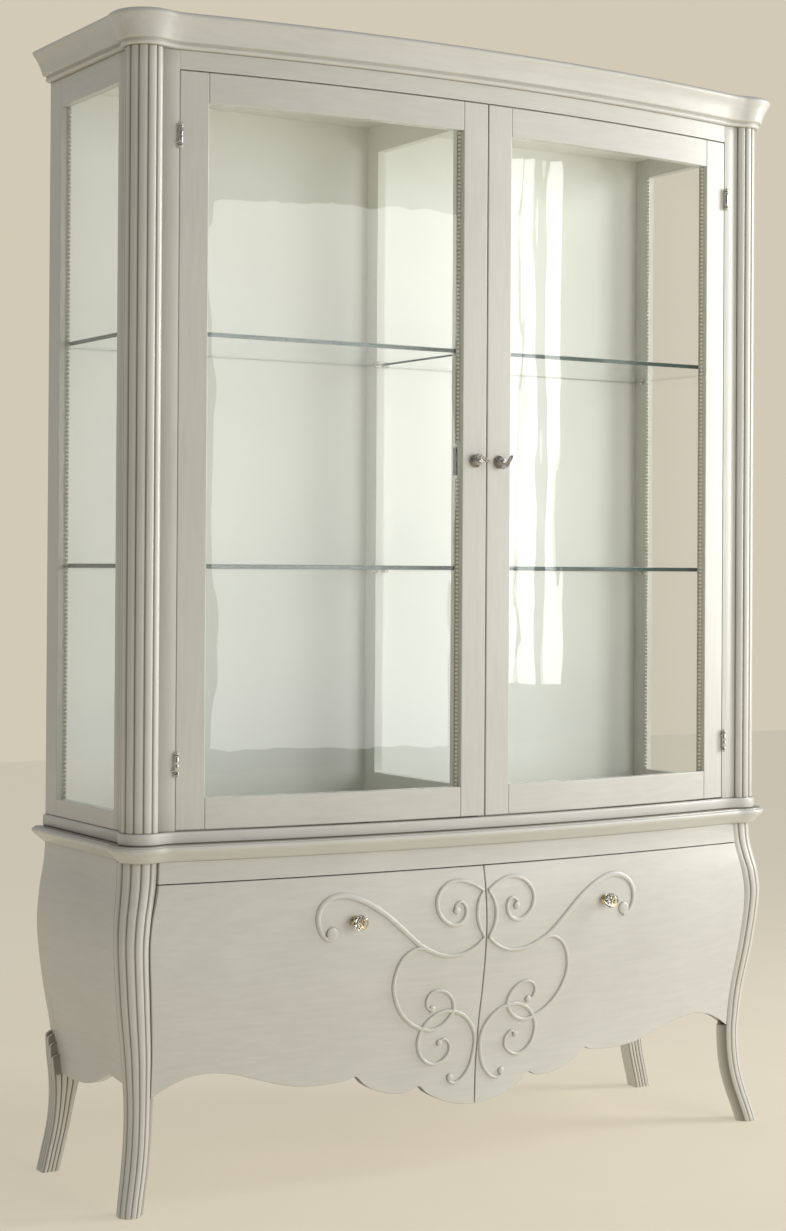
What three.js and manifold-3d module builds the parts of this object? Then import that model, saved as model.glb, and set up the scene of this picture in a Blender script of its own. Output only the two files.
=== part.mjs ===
// Curio cabinet: a glazed, bow-fronted display case on a bombe base with four reeded sabre legs.
// Millimetres, +Z up, +X to the right of someone facing the doors, doors towards -Y.
// The origin is on the floor, under the middle of the cabinet.
import * as THREE from 'three';
import { mergeVertices } from 'three/addons/utils/BufferGeometryUtils.js';
import Module from 'manifold-3d';

const wasm = await Module();
wasm.setup();

// ---------- Driving dimensions ----------
const UPPER_DOOR_EDGE = 641;      // centre line to the hinge edge of an upper door
const BASE_MARGIN = 35;           // how much further out the bow of the base front ends
const BOW = 56;                   // how far the middle of the front stands ahead of its corners
const BASE_BOW = 50;              // the same for the base doors
const COLUMN_FLAT = 33;           // plain face beside the reeds, on the front and on the side
const BACK = 398;                 // flat front plane to the back of the cabinet
const BASE_HEIGHT = 634;          // floor to the underside of the base top
const BASE_TOP = 32;              // thickness of the base top
const PLINTH = 22;                // height of the plinth board
const UPPER_HEIGHT = 1422;        // plinth to the underside of the cornice
const FRIEZE = 35;                // height of the frieze over the upper doors
const CORNICE = 63;               // height of the cornice
const CORNICE_REACH = 38;         // how far its lip stands out from the carcass

const COLUMN_CHAMFER = 20;        // splayed inner corner of the hollow-backed columns
const PANEL = 18;                 // thickness of carcass boards
const DOOR = 22;                  // thickness of upper doors, columns and frieze
const BASE_DOOR = 20;             // thickness of the bombe doors and of the base frieze
const BACK_BOARD = 12;            // thickness of the back boards
const SIDE_FRAME = 20;            // thickness of the glazed side frames
const STILE = 56;                 // face width of the upper doors' stiles and top rail
const BOTTOM_RAIL = 58;
const REAR_STILE = 52;            // face width of the side frames' rear stile
const SIDE_TOP_RAIL = 54;
const SIDE_BOTTOM_RAIL = 33;
const REBATE = 8;                 // how far the glass laps behind a frame
const REBATE_LIP = 9;             // wood left in front of the glass
const GLASS = 4;
const SHELF_GLASS = 8;
const SHELF_RISES = { lower: 478, upper: 906 };   // plinth to the underside of a shelf
const SHELF_CLEARANCE = 2;        // round a glass shelf
const PARTITION = 18;
const PARTITION_FRONT_STILE = 75;
const PARTITION_REAR_STILE = 42;
const PARTITION_RAIL = 55;
const TOP_BOARD = 14;

const CORNER_RADIUS = 34.5;       // groove circle of the reeded corner
const CORNER_INSET = CORNER_RADIUS - 8;   // centre of that circle behind both corner faces
const CORNER_SETOVER = CORNER_RADIUS - 11.2;   // and beside the end of the plain face
const REED_COUNT = 6;
const REED_PITCH = THREE.MathUtils.degToRad(28);
const REED_RISE = 0.08;           // crown height as a share of the groove radius
const LEG_BACKSET = 10;           // base corner circle behind the one of the columns
const LEG_DEPTH = 20;             // flat cheek of a front leg behind its reeds
const REAR_LEG_DEPTH = 34;
const REAR_REEDS = 4;

const SEAM = 0.2;                 // between pieces that are fixed together
const FIT = 0.3;                  // around a piece that is cut to fit another
const DOOR_GAP = 2;               // around the doors
const DOORS_MEET = 1.2;           // half the gap between two doors

const BASE_SHELF_SETBACK = 70;    // base shelf behind the doors' inner faces
const BOARD_SHOULDER = 95;        // where the base boards widen, behind the front legs
const BASE_FRIEZE = 41.5;         // base door to the base top

const HINGE_RADIUS = 4.5;
const HINGE_KNUCKLE = 23;
const HINGE_STUB = 2.2;
const HINGE_STUB_REACH = 15;
const HINGE_STUB_SPLAY = 0.9;     // radians from the depth direction
const HINGE_INSET = 120;          // upper door edge to the middle of a hinge
const CUP_RADIUS = 15;
const CUP_DEPTH = 9;
const CUP_INSET = 62;             // base hinge axis to the middle of its cup

const HANDLE_X = 28;
const HANDLE_RISE = 689;          // plinth to the lever handles
const ROSETTE_RADIUS = 14;
const ROSETTE_THICKNESS = 5;
const SPINDLE = 4;
const HUB_RADIUS = 5.5;
const LEVER_STANDOFF = 15;        // door face to the middle of the lever
const LEVER_REACH = 24;
const LEVER_THICKNESS = 3.2;
const LEVER_TILT = THREE.MathUtils.degToRad(24);   // of the right lever at rest
const LOCK_CASE = { width: 44, height: 54, depth: 11, inset: 13 };
const LOCK_CLEARANCE = 5;         // lock case to the partition behind it
const BOLT = { length: 36, height: 16, depth: 5, throw: 13, setback: 1 };
const STRIKE = { thickness: 4, height: 34, depth: 15 };

const KNOB_RADIUS = 15;
const KNOB_STEM = 10;
const KNOB_CRYSTAL = 23;          // length of the crystal along its axis

const SCROLL_WIDTH = 9;
const SCROLL_RISE = 3.6;
const SCROLL_STEP = 21;           // length of one facet along a strand
const CORNER_BLEND = 52;          // mouldings leave the front this far before the corner centre
const CORNICE_WALL = 11;          // wood between the carcass face and the recess on top

// ---------- Sizes that follow from them ----------
const BASE_BOW_EDGE = UPPER_DOOR_EDGE + BASE_MARGIN;
const CORNER_X = UPPER_DOOR_EDGE + COLUMN_FLAT + CORNER_SETOVER;
const SIDE = CORNER_X + CORNER_INSET + SEAM;
const PLINTH_Z = BASE_HEIGHT + BASE_TOP;
const UPPER_Z = PLINTH_Z + PLINTH;
const CORNICE_Z = UPPER_Z + UPPER_HEIGHT;
const FRIEZE_Z = CORNICE_Z - FRIEZE;
const TOP_BOARD_Z = CORNICE_Z - TOP_BOARD;
const COLUMN_END = CORNER_INSET + CORNER_SETOVER + COLUMN_FLAT + SEAM;
const BACK_FACE = BACK - BACK_BOARD;
const SIDE_INNER = SIDE - SIDE_FRAME;
const UPPER_DOOR = { bottom: UPPER_Z + DOOR_GAP, top: FRIEZE_Z - DOOR_GAP };
const PANE = {
  inner: STILE,
  outer: UPPER_DOOR_EDGE - STILE,
  bottom: UPPER_DOOR.bottom + BOTTOM_RAIL,
  top: UPPER_DOOR.top - STILE,
};
const BASE_DOOR_TOP = BASE_HEIGHT - BASE_FRIEZE;
const SHELF_FRONT = DOOR + 5;

// Curves and heights are listed for these sizes, and stretch with the cabinet.
const DRAWN = { halfWidth: 676, baseHeight: 634, upperHeight: 1422 };
const WIDEN = BASE_BOW_EDGE / DRAWN.halfWidth;
const RAISE = BASE_HEIGHT / DRAWN.baseHeight;
const UPPER_RAISE = UPPER_HEIGHT / DRAWN.upperHeight;
const HANDLE_Z = UPPER_Z + HANDLE_RISE * UPPER_RAISE;
const SHELF_HEIGHTS = {
  lower: UPPER_Z + SHELF_RISES.lower * UPPER_RAISE,
  upper: UPPER_Z + SHELF_RISES.upper * UPPER_RAISE,
};
const KNOB_X = 292 * WIDEN;
const KNOB_Z = 507 * RAISE;
const FLOOR_BOARD_Z = 250 * RAISE;   // underside of the base cupboard's floor
const BASE_SHELF_Z = 425 * RAISE;
const BASE_BACK_BOTTOM = 192 * RAISE;
const REAR_LEG_TOP = 272 * RAISE;
const BASE_HINGE_HEIGHTS = { upper: 545 * RAISE, lower: 300 * RAISE };

// Shape of the bombe base: height as a share of BASE_HEIGHT, then millimetres outward.
const BELLY = [[0.19, -25], [0.32, -21.5], [0.45, -11.5], [0.55, 0.5], [0.66, 11],
  [0.76, 16], [0.86, 11.5], [0.94, 3], [1, 0]];
const LEG_SWING = [[0, 23], [0.05, 15.5], [0.12, 4.5], [0.19, -3], [0.28, -6.5], [0.36, -5.5],
  [0.45, -2], [0.6, 9.5], [0.76, 18], [0.84, 13.5], [0.89, 6], [0.94, 0], [1, -2.5]];
const LEG_RADIUS = [[0, 21.5], [0.12, 22.8], [0.3, 23.6], [0.45, 27.6], [0.6, 31], [0.76, 32.5],
  [0.93, 36.5], [1, 37]];
const REAR_LEG_OUT = [[0, 15], [0.06, 6], [0.12, -3], [0.17, -8], [0.22, -10], [0.28, -9],
  [0.35, -4], [0.43, -1]];
const REAR_LEG_WIDTH = [[0, 36], [0.15, 38], [0.22, 44], [0.28, 53], [0.43, 58]];
// Scalloped lower edges: share of the half width (or of the depth), then height as drawn.
const FRONT_SCALLOP = [[0, 125], [0.045, 128], [0.09, 135], [0.13, 146], [0.165, 159], [0.19, 173],
  [0.215, 166], [0.25, 164], [0.29, 167], [0.34, 178], [0.37, 190], [0.396, 206], [0.42, 201],
  [0.46, 198], [0.53, 197], [0.59, 201], [0.64, 209], [0.7, 221], [0.77, 235], [0.84, 241],
  [0.9, 236], [0.955, 221], [1, 203]];
const SIDE_SCALLOP = [[0.08, 196], [0.14, 209], [0.2, 219], [0.27, 226], [0.35, 230], [0.39, 222],
  [0.45, 212], [0.52, 201], [0.6, 193], [0.7, 188], [0.8, 187], [0.9, 189], [1, 192]];

// ---------- Materials ----------
function paint(color, roughness) {
  return new THREE.MeshStandardMaterial({ color, roughness, metalness: 0 });
}
function metal(color, roughness) {
  return new THREE.MeshStandardMaterial({ color, roughness, metalness: 1 });
}
const lacquer = () => paint(0xdfddd0, 0.35);
const linerPaint = () => paint(0xe9e8df, 0.5);
const pane = () => new THREE.MeshStandardMaterial({
  color: 0xdfe9e4, roughness: 0.03, metalness: 0, transparent: true, opacity: 0.25,
});
const crystal = () => new THREE.MeshStandardMaterial({
  color: 0xf4f6f8, roughness: 0.02, metalness: 0, transparent: true, opacity: 0.5,
});
const pewter = () => metal(0x8d8981, 0.35);
const nickel = () => metal(0xc4c4c0, 0.25);
const gilt = () => metal(0xb08a4e, 0.3);
const blackSteel = () => metal(0x2b2b28, 0.45);

// ---------- Geometry helpers ----------
// Smooth height profile through its listed points.
function profile(table, at) {
  const last = table.length - 1;
  if (at <= table[0][0]) return table[0][1];
  if (at >= table[last][0]) return table[last][1];
  const i = table.findIndex((row) => row[0] > at) - 1;
  const slope = (a, b) => (table[b][1] - table[a][1]) / (table[b][0] - table[a][0]);
  const tangent = (n) => slope(Math.max(n - 1, 0), Math.min(n + 1, last));
  const width = table[i + 1][0] - table[i][0];
  const t = (at - table[i][0]) / width;
  const rise = table[i + 1][1] - table[i][1];
  const start = tangent(i) * width;
  const end = tangent(i + 1) * width;
  const cubic = start + end - 2 * rise;
  const square = 3 * rise - 2 * start - end;
  return table[i][1] + t * (start + t * (square + t * cubic));
}

function steps(from, to, count) {
  return Array.from({ length: count + 1 }, (_, i) => from + ((to - from) * i) / count);
}

// A closed mesh from points and triangles, turned so that its faces point out.
function closed(points, triangles) {
  let volume = 0;
  for (const [a, b, c] of triangles) {
    volume += points[a].dot(new THREE.Vector3().crossVectors(points[b], points[c]));
  }
  const faces = volume < 0 ? triangles.map(([a, b, c]) => [a, c, b]) : triangles;
  const geometry = new THREE.BufferGeometry();
  geometry.setAttribute('position', new THREE.Float32BufferAttribute(
    points.flatMap((p) => [p.x, p.y, p.z]), 3));
  geometry.setIndex(faces.flat());
  return geometry;
}

function band(ringA, ringB, count) {
  const faces = [];
  for (let i = 0; i < count; i += 1) {
    const j = (i + 1) % count;
    faces.push([ringA + i, ringA + j, ringB + j], [ringA + i, ringB + j, ringB + i]);
  }
  return faces;
}

// Rings of equal length joined one after the other, with a flat cap at both ends.
function loft(rings) {
  const count = rings[0].length;
  const faces = [];
  for (let r = 0; r < rings.length - 1; r += 1) {
    faces.push(...band(r * count, (r + 1) * count, count));
  }
  const flat = (ring) => ring.map((p) => new THREE.Vector2(p.x, p.y));
  const bottom = THREE.ShapeUtils.triangulateShape(flat(rings[0]), []);
  const top = THREE.ShapeUtils.triangulateShape(flat(rings[rings.length - 1]), []);
  const first = (rings.length - 1) * count;
  const upward = THREE.ShapeUtils.area(flat(rings[0])) > 0;
  faces.push(...bottom.map(([a, b, c]) => (upward ? [a, c, b] : [a, b, c])));
  faces.push(...top.map(([a, b, c]) => (upward
    ? [first + a, first + b, first + c] : [first + a, first + c, first + b])));
  return closed(rings.flat(), faces);
}

// Rings joined in a loop, for a moulding that runs all the way round.
function loop(rings) {
  const count = rings[0].length;
  const faces = rings.flatMap((_, r) => (
    band(r * count, ((r + 1) % rings.length) * count, count)));
  return closed(rings.flat(), faces);
}

// A sheet with two curved faces: front(u, v) and back(u, v) give its points.
function slab(us, vs, front, back) {
  const rings = [];
  for (const v of vs) {
    const near = us.map((u) => front(u, v));
    const far = us.map((u) => back(u, v)).reverse();
    rings.push([...near, ...far]);
  }
  const count = rings[0].length;
  const faces = [];
  for (let r = 0; r < rings.length - 1; r += 1) {
    faces.push(...band(r * count, (r + 1) * count, count));
  }
  for (const [r, flip] of [[0, true], [rings.length - 1, false]]) {
    for (let i = 0; i < us.length - 1; i += 1) {
      const [a, b] = [r * count + i, r * count + i + 1];
      const [c, d] = [r * count + count - 2 - i, r * count + count - 1 - i];
      faces.push(...(flip ? [[a, c, b], [a, d, c]] : [[a, b, c], [a, c, d]]));
    }
  }
  return closed(rings.flat(), faces);
}

function prism(points, bottom, top) {
  const ring = (z) => points.map(([x, y]) => new THREE.Vector3(x, y, z));
  return loft([ring(bottom), ring(top)]);
}

function box(x0, x1, y0, y1, z0, z1) {
  const geometry = new THREE.BoxGeometry(x1 - x0, y1 - y0, z1 - z0);
  return geometry.translate((x0 + x1) / 2, (y0 + y1) / 2, (z0 + z1) / 2);
}

function rodZ(radius, x, y, z0, z1, sides = 16) {
  const geometry = new THREE.CylinderGeometry(radius, radius, z1 - z0, sides);
  return geometry.rotateX(Math.PI / 2).translate(x, y, (z0 + z1) / 2);
}

function rodY(radius, x, z, y0, y1, sides = 16) {
  const geometry = new THREE.CylinderGeometry(radius, radius, y1 - y0, sides);
  return geometry.translate(0, (y0 + y1) / 2, 0).translate(x, 0, z);
}

// A turned piece whose axis points to -Y; the outline lists [radius, distance from the door].
function turned(outline, x, y, z, sides) {
  const points = outline.map(([radius, height]) => new THREE.Vector2(radius, height));
  const geometry = new THREE.LatheGeometry([...points, points[0].clone()], sides);
  return geometry.rotateX(Math.PI).translate(x, y, z);
}

function sweep(curve, section, count) {
  const shape = new THREE.Shape(section);
  return new THREE.ExtrudeGeometry(shape, { steps: count, extrudePath: curve, bevelEnabled: false });
}

function circle(radius, sides) {
  return steps(0, 2 * Math.PI, sides).slice(0, -1).map((a) => (
    new THREE.Vector2(radius * Math.cos(a), radius * Math.sin(a))));
}

function solid(geometry) {
  const bare = geometry.clone();
  bare.deleteAttribute('normal');
  bare.deleteAttribute('uv');
  const welded = mergeVertices(bare, 1e-4);
  return new wasm.Manifold(new wasm.Mesh({
    numProp: 3,
    vertProperties: new Float32Array(welded.attributes.position.array),
    triVerts: new Uint32Array(welded.index.array),
  }));
}

function geometryOf(manifold) {
  const mesh = manifold.getMesh();
  const geometry = new THREE.BufferGeometry();
  geometry.setAttribute('position', new THREE.Float32BufferAttribute(mesh.vertProperties, 3));
  geometry.setIndex([...mesh.triVerts]);
  return geometry;
}

function cut(geometry, ...tools) {
  return geometryOf(tools.reduce((rest, tool) => rest.subtract(solid(tool)), solid(geometry)));
}

function join(geometry, ...others) {
  return geometryOf(others.reduce((sum, other) => sum.add(solid(other)), solid(geometry)));
}

function mirrored(geometry) {
  const points = [];
  const source = geometry.attributes.position;
  for (let i = 0; i < source.count; i += 1) {
    points.push(new THREE.Vector3(-source.getX(i), source.getY(i), source.getZ(i)));
  }
  const order = geometry.index ? [...geometry.index.array] : points.map((_, i) => i);
  const faces = [];
  for (let i = 0; i < order.length; i += 3) faces.push([order[i], order[i + 2], order[i + 1]]);
  return closed(points, faces);
}

// ---------- Surfaces shared by the pieces ----------
const upperFront = (x) => -BOW * Math.max(0, 1 - (x / UPPER_DOOR_EDGE) ** 2);
const belly = (z) => profile(BELLY, z / BASE_HEIGHT);
const baseFront = (x, z) => -BASE_BOW * (1 - (x / BASE_BOW_EDGE) ** 2) - belly(z);
const baseSide = (z) => SIDE + belly(z);
const lowerEdge = (x) => RAISE * profile(FRONT_SCALLOP, Math.abs(x) / BASE_BOW_EDGE);
const sideLowerEdge = (y) => RAISE * profile(SIDE_SCALLOP, y / BACK);

function legAxis(z) {
  const swing = profile(LEG_SWING, z / BASE_HEIGHT);
  return {
    x: CORNER_X + swing,
    y: CORNER_INSET + LEG_BACKSET - swing,
    radius: profile(LEG_RADIUS, z / BASE_HEIGHT),
  };
}

// Half angle of the reeded fan, which faces the front outer corner.
const FAN = (REED_COUNT * REED_PITCH) / 2;
const DIAGONAL = -Math.PI / 4;

function reededArc(centre, radius) {
  const segments = REED_COUNT * 3;
  return steps(DIAGONAL - FAN, DIAGONAL + FAN, segments).map((angle, i) => {
    const reach = i % 3 === 0 ? radius : radius * (1 + REED_RISE);
    return [centre.x + reach * Math.cos(angle), centre.y + reach * Math.sin(angle)];
  });
}

// Where the base front stops beside the reeds of a front leg.
function baseDoorEdge(z) {
  const { x, radius } = legAxis(z);
  return x + radius * Math.cos(DIAGONAL - FAN);
}
const BASE_HINGE_X = Math.max(...steps(0.6, 0.9, 30).map((h) => baseDoorEdge(h * BASE_HEIGHT)));
const BASE_HINGE_Y = Math.min(...steps(0.6, 0.9, 30).map((h) => (
  baseFront(BASE_HINGE_X, h * BASE_HEIGHT)))) - 2;

// Plan outline of a moulding that stands out from the carcass by the given offset. It swells from
// the bowed front into the round corner, and meets the side at an angle.
function planOutline(offset, bowEdge, z) {
  const radius = CORNER_RADIUS + 2.5 + 0.85 * offset;
  const side = SIDE + offset;
  const arcStart = THREE.MathUtils.degToRad(-108);
  const arcEnd = Math.atan2(Math.sqrt(radius ** 2 - (side - CORNER_X) ** 2), side - CORNER_X);
  const arc = steps(arcStart, arcEnd, 7).map((angle) => (
    [CORNER_X + radius * Math.cos(angle), CORNER_INSET + radius * Math.sin(angle)]));
  const bow = (x) => -BOW * Math.max(0, 1 - (x / bowEdge) ** 2) - offset;
  const swellStart = CORNER_X - CORNER_BLEND;
  const front = steps(0, swellStart, 8).slice(1).map((x) => [x, bow(x)]);
  const swell = new THREE.CubicBezierCurve(
    new THREE.Vector2(swellStart, bow(swellStart)),
    new THREE.Vector2(swellStart + 14, bow(swellStart + 14)),
    new THREE.Vector2(arc[0][0] + 13 * Math.sin(arcStart), arc[0][1] - 13 * Math.cos(arcStart)),
    new THREE.Vector2(...arc[0]));
  const blend = swell.getPoints(4).slice(1, -1).map((p) => [p.x, p.y]);
  const half = [...front, ...blend, ...arc, [side, BACK + Math.min(offset, 0)]];
  const other = half.map(([x, y]) => [-x, y]).reverse();
  return [...other, [0, -BOW - offset], ...half].map(([x, y]) => new THREE.Vector3(x, y, z));
}

// ---------- Base ----------
function frontLegSection(z, grow) {
  const axis = legAxis(z);
  const arc = reededArc(axis, axis.radius + grow);
  const depth = (LEG_DEPTH + grow) * Math.SQRT1_2;
  const ends = [arc[arc.length - 1], arc[0]].map(([x, y]) => [x - depth, y + depth]);
  return [...arc, ...ends].map(([x, y]) => new THREE.Vector3(x, y, z));
}

function frontLegBlank(grow) {
  const levels = steps(0, BASE_HEIGHT - SEAM, 14);
  return loft(levels.map((z) => frontLegSection(z, grow)));
}

// The room that the base front takes beside a front leg.
function baseFrontRoom() {
  const levels = steps(lowerEdge(BASE_BOW_EDGE) - DOOR_GAP, BASE_HEIGHT + 1, 16);
  const depth = 120;
  return loft(levels.map((z) => {
    const edge = baseDoorEdge(z) + FIT;
    return [[edge, -depth], [edge, depth], [edge - depth, depth], [edge - depth, -depth]].map(
      ([x, y]) => new THREE.Vector3(x, y, z));
  }));
}

function frontLeg() {
  return cut(frontLegBlank(0), baseFrontRoom());
}

function rearLegSection(z, grow) {
  const outer = SIDE + profile(REAR_LEG_OUT, z / BASE_HEIGHT) + grow;
  const inner = outer - profile(REAR_LEG_WIDTH, z / BASE_HEIGHT) - 2 * grow;
  const front = BACK - SEAM - REAR_LEG_DEPTH - grow;
  const back = BACK - SEAM + (grow ? 5 : 0);
  const rise = 2;
  const corner = 5;
  const reeds = (from, to, place) => steps(0, REAR_REEDS, REAR_REEDS * 3).slice(0, -1).map((n, i) => (
    place(from + ((to - from) * n) / REAR_REEDS, i % 3 === 0 ? rise : 0)));
  const face = reeds(inner, outer - corner, (x, dip) => [x, front + dip]);
  const cheek = reeds(front + corner, back, (y, dip) => [outer - dip, y]);
  return [...face, [outer - corner, front + rise], ...cheek, [outer - rise, back], [inner, back]]
    .map(([x, y]) => new THREE.Vector3(x, y, z));
}

function rearLeg(grow = 0) {
  return loft(steps(0, REAR_LEG_TOP + grow, 11).map((z) => rearLegSection(z, grow)));
}

function baseSidePanel() {
  const top = BASE_HEIGHT - SEAM;
  const us = [0, 0.05, 0.12, 0.2, 0.27, 0.32, 0.37, 0.45, 0.55, 0.66, 0.78, 0.89, 1];
  const place = (u, v, inset) => {
    const roughY = THREE.MathUtils.lerp(65, BACK, u);
    const z = THREE.MathUtils.lerp(sideLowerEdge(roughY), top, v);
    const axis = legAxis(z);
    const frontEdge = axis.y + axis.radius * Math.sin(DIAGONAL + FAN) + FIT;
    const y = THREE.MathUtils.lerp(frontEdge, BACK - SEAM, u);
    return new THREE.Vector3(baseSide(z) - inset, y, z);
  };
  const panel = slab(us, steps(0, 1, 10), (u, v) => place(u, v, 0), (u, v) => place(u, v, PANEL));
  return cut(panel, frontLegBlank(FIT), rearLeg(FIT));
}

// A bombe door before its hinge cups are bored, with its front face moved forward by lift.
function baseDoorBlank(lift) {
  const us = FRONT_SCALLOP.map(([share]) => share);
  const place = (u, v, inset) => {
    const nominal = THREE.MathUtils.lerp(DOORS_MEET, BASE_BOW_EDGE, u);
    const z = THREE.MathUtils.lerp(lowerEdge(nominal), BASE_DOOR_TOP, v);
    const x = THREE.MathUtils.lerp(DOORS_MEET, baseDoorEdge(z) - 1, u);
    return new THREE.Vector3(x, baseFront(x, z) + inset, z);
  };
  return slab(us, steps(0, 1, 10), (u, v) => place(u, v, -lift), (u, v) => place(u, v, BASE_DOOR));
}

function baseFrieze() {
  const bottom = BASE_DOOR_TOP + DOOR_GAP;
  const us = steps(-1, 1, 20);
  const place = (u, v, inset) => {
    const z = THREE.MathUtils.lerp(bottom, BASE_HEIGHT - SEAM, v);
    const x = u * (baseDoorEdge(z) - SEAM);
    return new THREE.Vector3(x, baseFront(x, z) + inset, z);
  };
  return slab(us, steps(0, 1, 3), (u, v) => place(u, v, 0), (u, v) => place(u, v, BASE_DOOR));
}

function baseHingeCup(z, grow) {
  const x = BASE_HINGE_X - CUP_INSET;
  const y = baseFront(x, z) + BASE_DOOR;
  return rodY(CUP_RADIUS + grow, x, z, y - CUP_DEPTH - grow, y + 2 + grow * 20, 20);
}

function baseDoor() {
  const cups = Object.values(BASE_HINGE_HEIGHTS).map((z) => baseHingeCup(z, FIT));
  return cut(baseDoorBlank(0), ...cups);
}

// A concealed hinge's cup, let into the door, with the arm that leaves it.
function baseHinge(z) {
  const x = BASE_HINGE_X - CUP_INSET;
  const y = baseFront(x, z) + BASE_DOOR;
  const arm = box(x - 7, x + 12, y + 1, y + 9, z - 6, z + 6);
  return join(baseHingeCup(z, 0), arm);
}

function baseBack() {
  const place = (side, z, y) => new THREE.Vector3(side * (baseSide(z) - PANEL - FIT), y, z);
  const levels = steps(BASE_BACK_BOTTOM, BASE_HEIGHT - SEAM, 10);
  const board = slab([-1, 1], levels, (side, z) => place(side, z, BACK_FACE),
    (side, z) => place(side, z, BACK - SEAM));
  return cut(board, rearLeg(FIT), mirrored(rearLeg(FIT)));
}

function innerBoard(z, thickness, setback) {
  const tight = Math.min(belly(z), belly(z + thickness));
  const half = SIDE + tight - PANEL - FIT;
  const frontHalf = baseDoorEdge(z) - LEG_DEPTH;
  const front = steps(-frontHalf, frontHalf, 16).map((x) => (
    [x, baseFront(x, z) + belly(z) - tight + BASE_DOOR + setback]));
  const plan = [...front, [frontHalf, BOARD_SHOULDER], [half, BOARD_SHOULDER],
    [half, BACK_FACE - SEAM], [-half, BACK_FACE - SEAM], [-half, BOARD_SHOULDER],
    [-frontHalf, BOARD_SHOULDER]];
  const legs = [frontLegBlank(FIT), rearLeg(FIT)];
  return cut(prism(plan, z, z + thickness), ...legs, ...legs.map(mirrored));
}

function baseTop() {
  const edge = [[2, 0], [6, 4], [14, 11], [22, 17.5], [28, 23], [27.5, 28], [22, BASE_TOP]];
  return loft(edge.map(([offset, rise]) => (
    planOutline(offset, BASE_BOW_EDGE, BASE_HEIGHT + rise - (rise === BASE_TOP ? SEAM : 0)))));
}

// ---------- Scroll relief on the base doors ----------
// Each strand is a route over the door, as [distance from the split, height], as drawn.
const SCROLL_STRANDS = [
  // long wave from the outer volute, under the knob, to the split
  [[339, 474], [352, 477], [362, 489], [368, 506], [367, 524], [357, 541], [338, 552], [314, 555],
    [288, 549], [258, 535], [227, 515], [197, 490], [171, 467], [148, 449], [125, 437], [104, 429],
    [80, 425], [52, 427], [26, 438], [5, 455]],
  // lens beside the split
  [[5, 455], [18, 480], [22, 504], [17, 528], [6, 546]],
  // upper volute
  [[6, 546], [30, 560], [58, 568], [85, 564], [104, 550], [113, 530], [108, 507], [93, 491],
    [74, 484], [57, 490], [48, 505], [50, 520], [60, 528], [71, 522], [72, 511]],
  // middle volute
  [[132, 441], [155, 445], [172, 440], [188, 427], [199, 405], [203, 375], [195, 345], [179, 319],
    [156, 298], [132, 286], [108, 281], [85, 289], [69, 305], [63, 322], [70, 341], [85, 354],
    [104, 359], [120, 354], [127, 340], [122, 325], [110, 321]],
  // lower strand, with a volute at both ends
  [[59, 186], [61, 176], [47, 172], [30, 181], [15, 202], [8, 230], [7, 257], [17, 282], [37, 303],
    [62, 314], [88, 315], [112, 305], [129, 287], [137, 263], [132, 238], [118, 221], [98, 213],
    [79, 219], [66, 233], [66, 250], [78, 261], [90, 256]],
];
const SCROLL_EYES = [[340, 486, 13], [70, 512, 7], [112, 323, 7], [60, 184, 7], [89, 255, 6]];

function onDoor(x, z, lift) {
  return new THREE.Vector3(x, baseFront(x, z) - lift, z);
}

function scrollStrand(route) {
  const curve = new THREE.CatmullRomCurve3(route.map(([x, z]) => onDoor(x * WIDEN, z * RAISE, FIT)));
  const count = Math.max(6, Math.round(curve.getLength() / SCROLL_STEP));
  const half = SCROLL_WIDTH / 2;
  const rings = steps(0, 1, count).map((t) => {
    const middle = curve.getPointAt(t);
    const along = curve.getTangentAt(t);
    const across = new THREE.Vector3(-along.z, 0, along.x).normalize();
    const place = (side, lift) => {
      const point = middle.clone().addScaledVector(across, side * half);
      return onDoor(point.x, point.z, FIT + lift * SCROLL_RISE);
    };
    return [place(-1, 0), place(-0.6, 0.85), place(0.6, 0.85), place(1, 0)];
  });
  const size = 4;
  const faces = rings.slice(1).flatMap((_, r) => band(r * size, (r + 1) * size, size));
  const first = count * size;
  faces.push([0, 2, 1], [0, 3, 2], [first, first + 1, first + 2], [first, first + 2, first + 3]);
  return closed(rings.flat(), faces);
}

function scrollEye([across, up, radius]) {
  const [x, z] = [across * WIDEN, up * RAISE];
  const y = baseFront(x, z);
  return rodY(radius, x, z, y - SCROLL_RISE - 0.6, y + 4, 10);
}

function scrollRelief() {
  const [first, ...rest] = SCROLL_STRANDS.map(scrollStrand);
  const relief = join(first, ...rest, ...SCROLL_EYES.map(scrollEye));
  const nearSplit = box(-30, DOORS_MEET + 0.5, -150, 0, 100, BASE_HEIGHT);
  return cut(relief, baseDoorBlank(FIT), nearSplit);
}

// ---------- Crystal knobs ----------
const KNOB_FACE = baseFront(KNOB_X, KNOB_Z) - 1.2;

function knobMount() {
  const stem = [[0, 0], [10, 0], [10, 2], [7, 3], [5, 4.5], [5, 6.5], [8, 8.5], [8.5, KNOB_STEM],
    [0, KNOB_STEM]];
  return turned(stem, KNOB_X, KNOB_FACE, KNOB_Z, 16);
}

function knobCrystal() {
  const facets = [[0, 0], [0.55, 0], [0.85, 0.2], [1, 0.46], [0.88, 0.75], [0.55, 0.94], [0, 1]];
  const outline = facets.map(([across, along]) => (
    [across * KNOB_RADIUS, KNOB_STEM + FIT + along * KNOB_CRYSTAL]));
  return turned(outline, KNOB_X, KNOB_FACE, KNOB_Z, 10);
}

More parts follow.
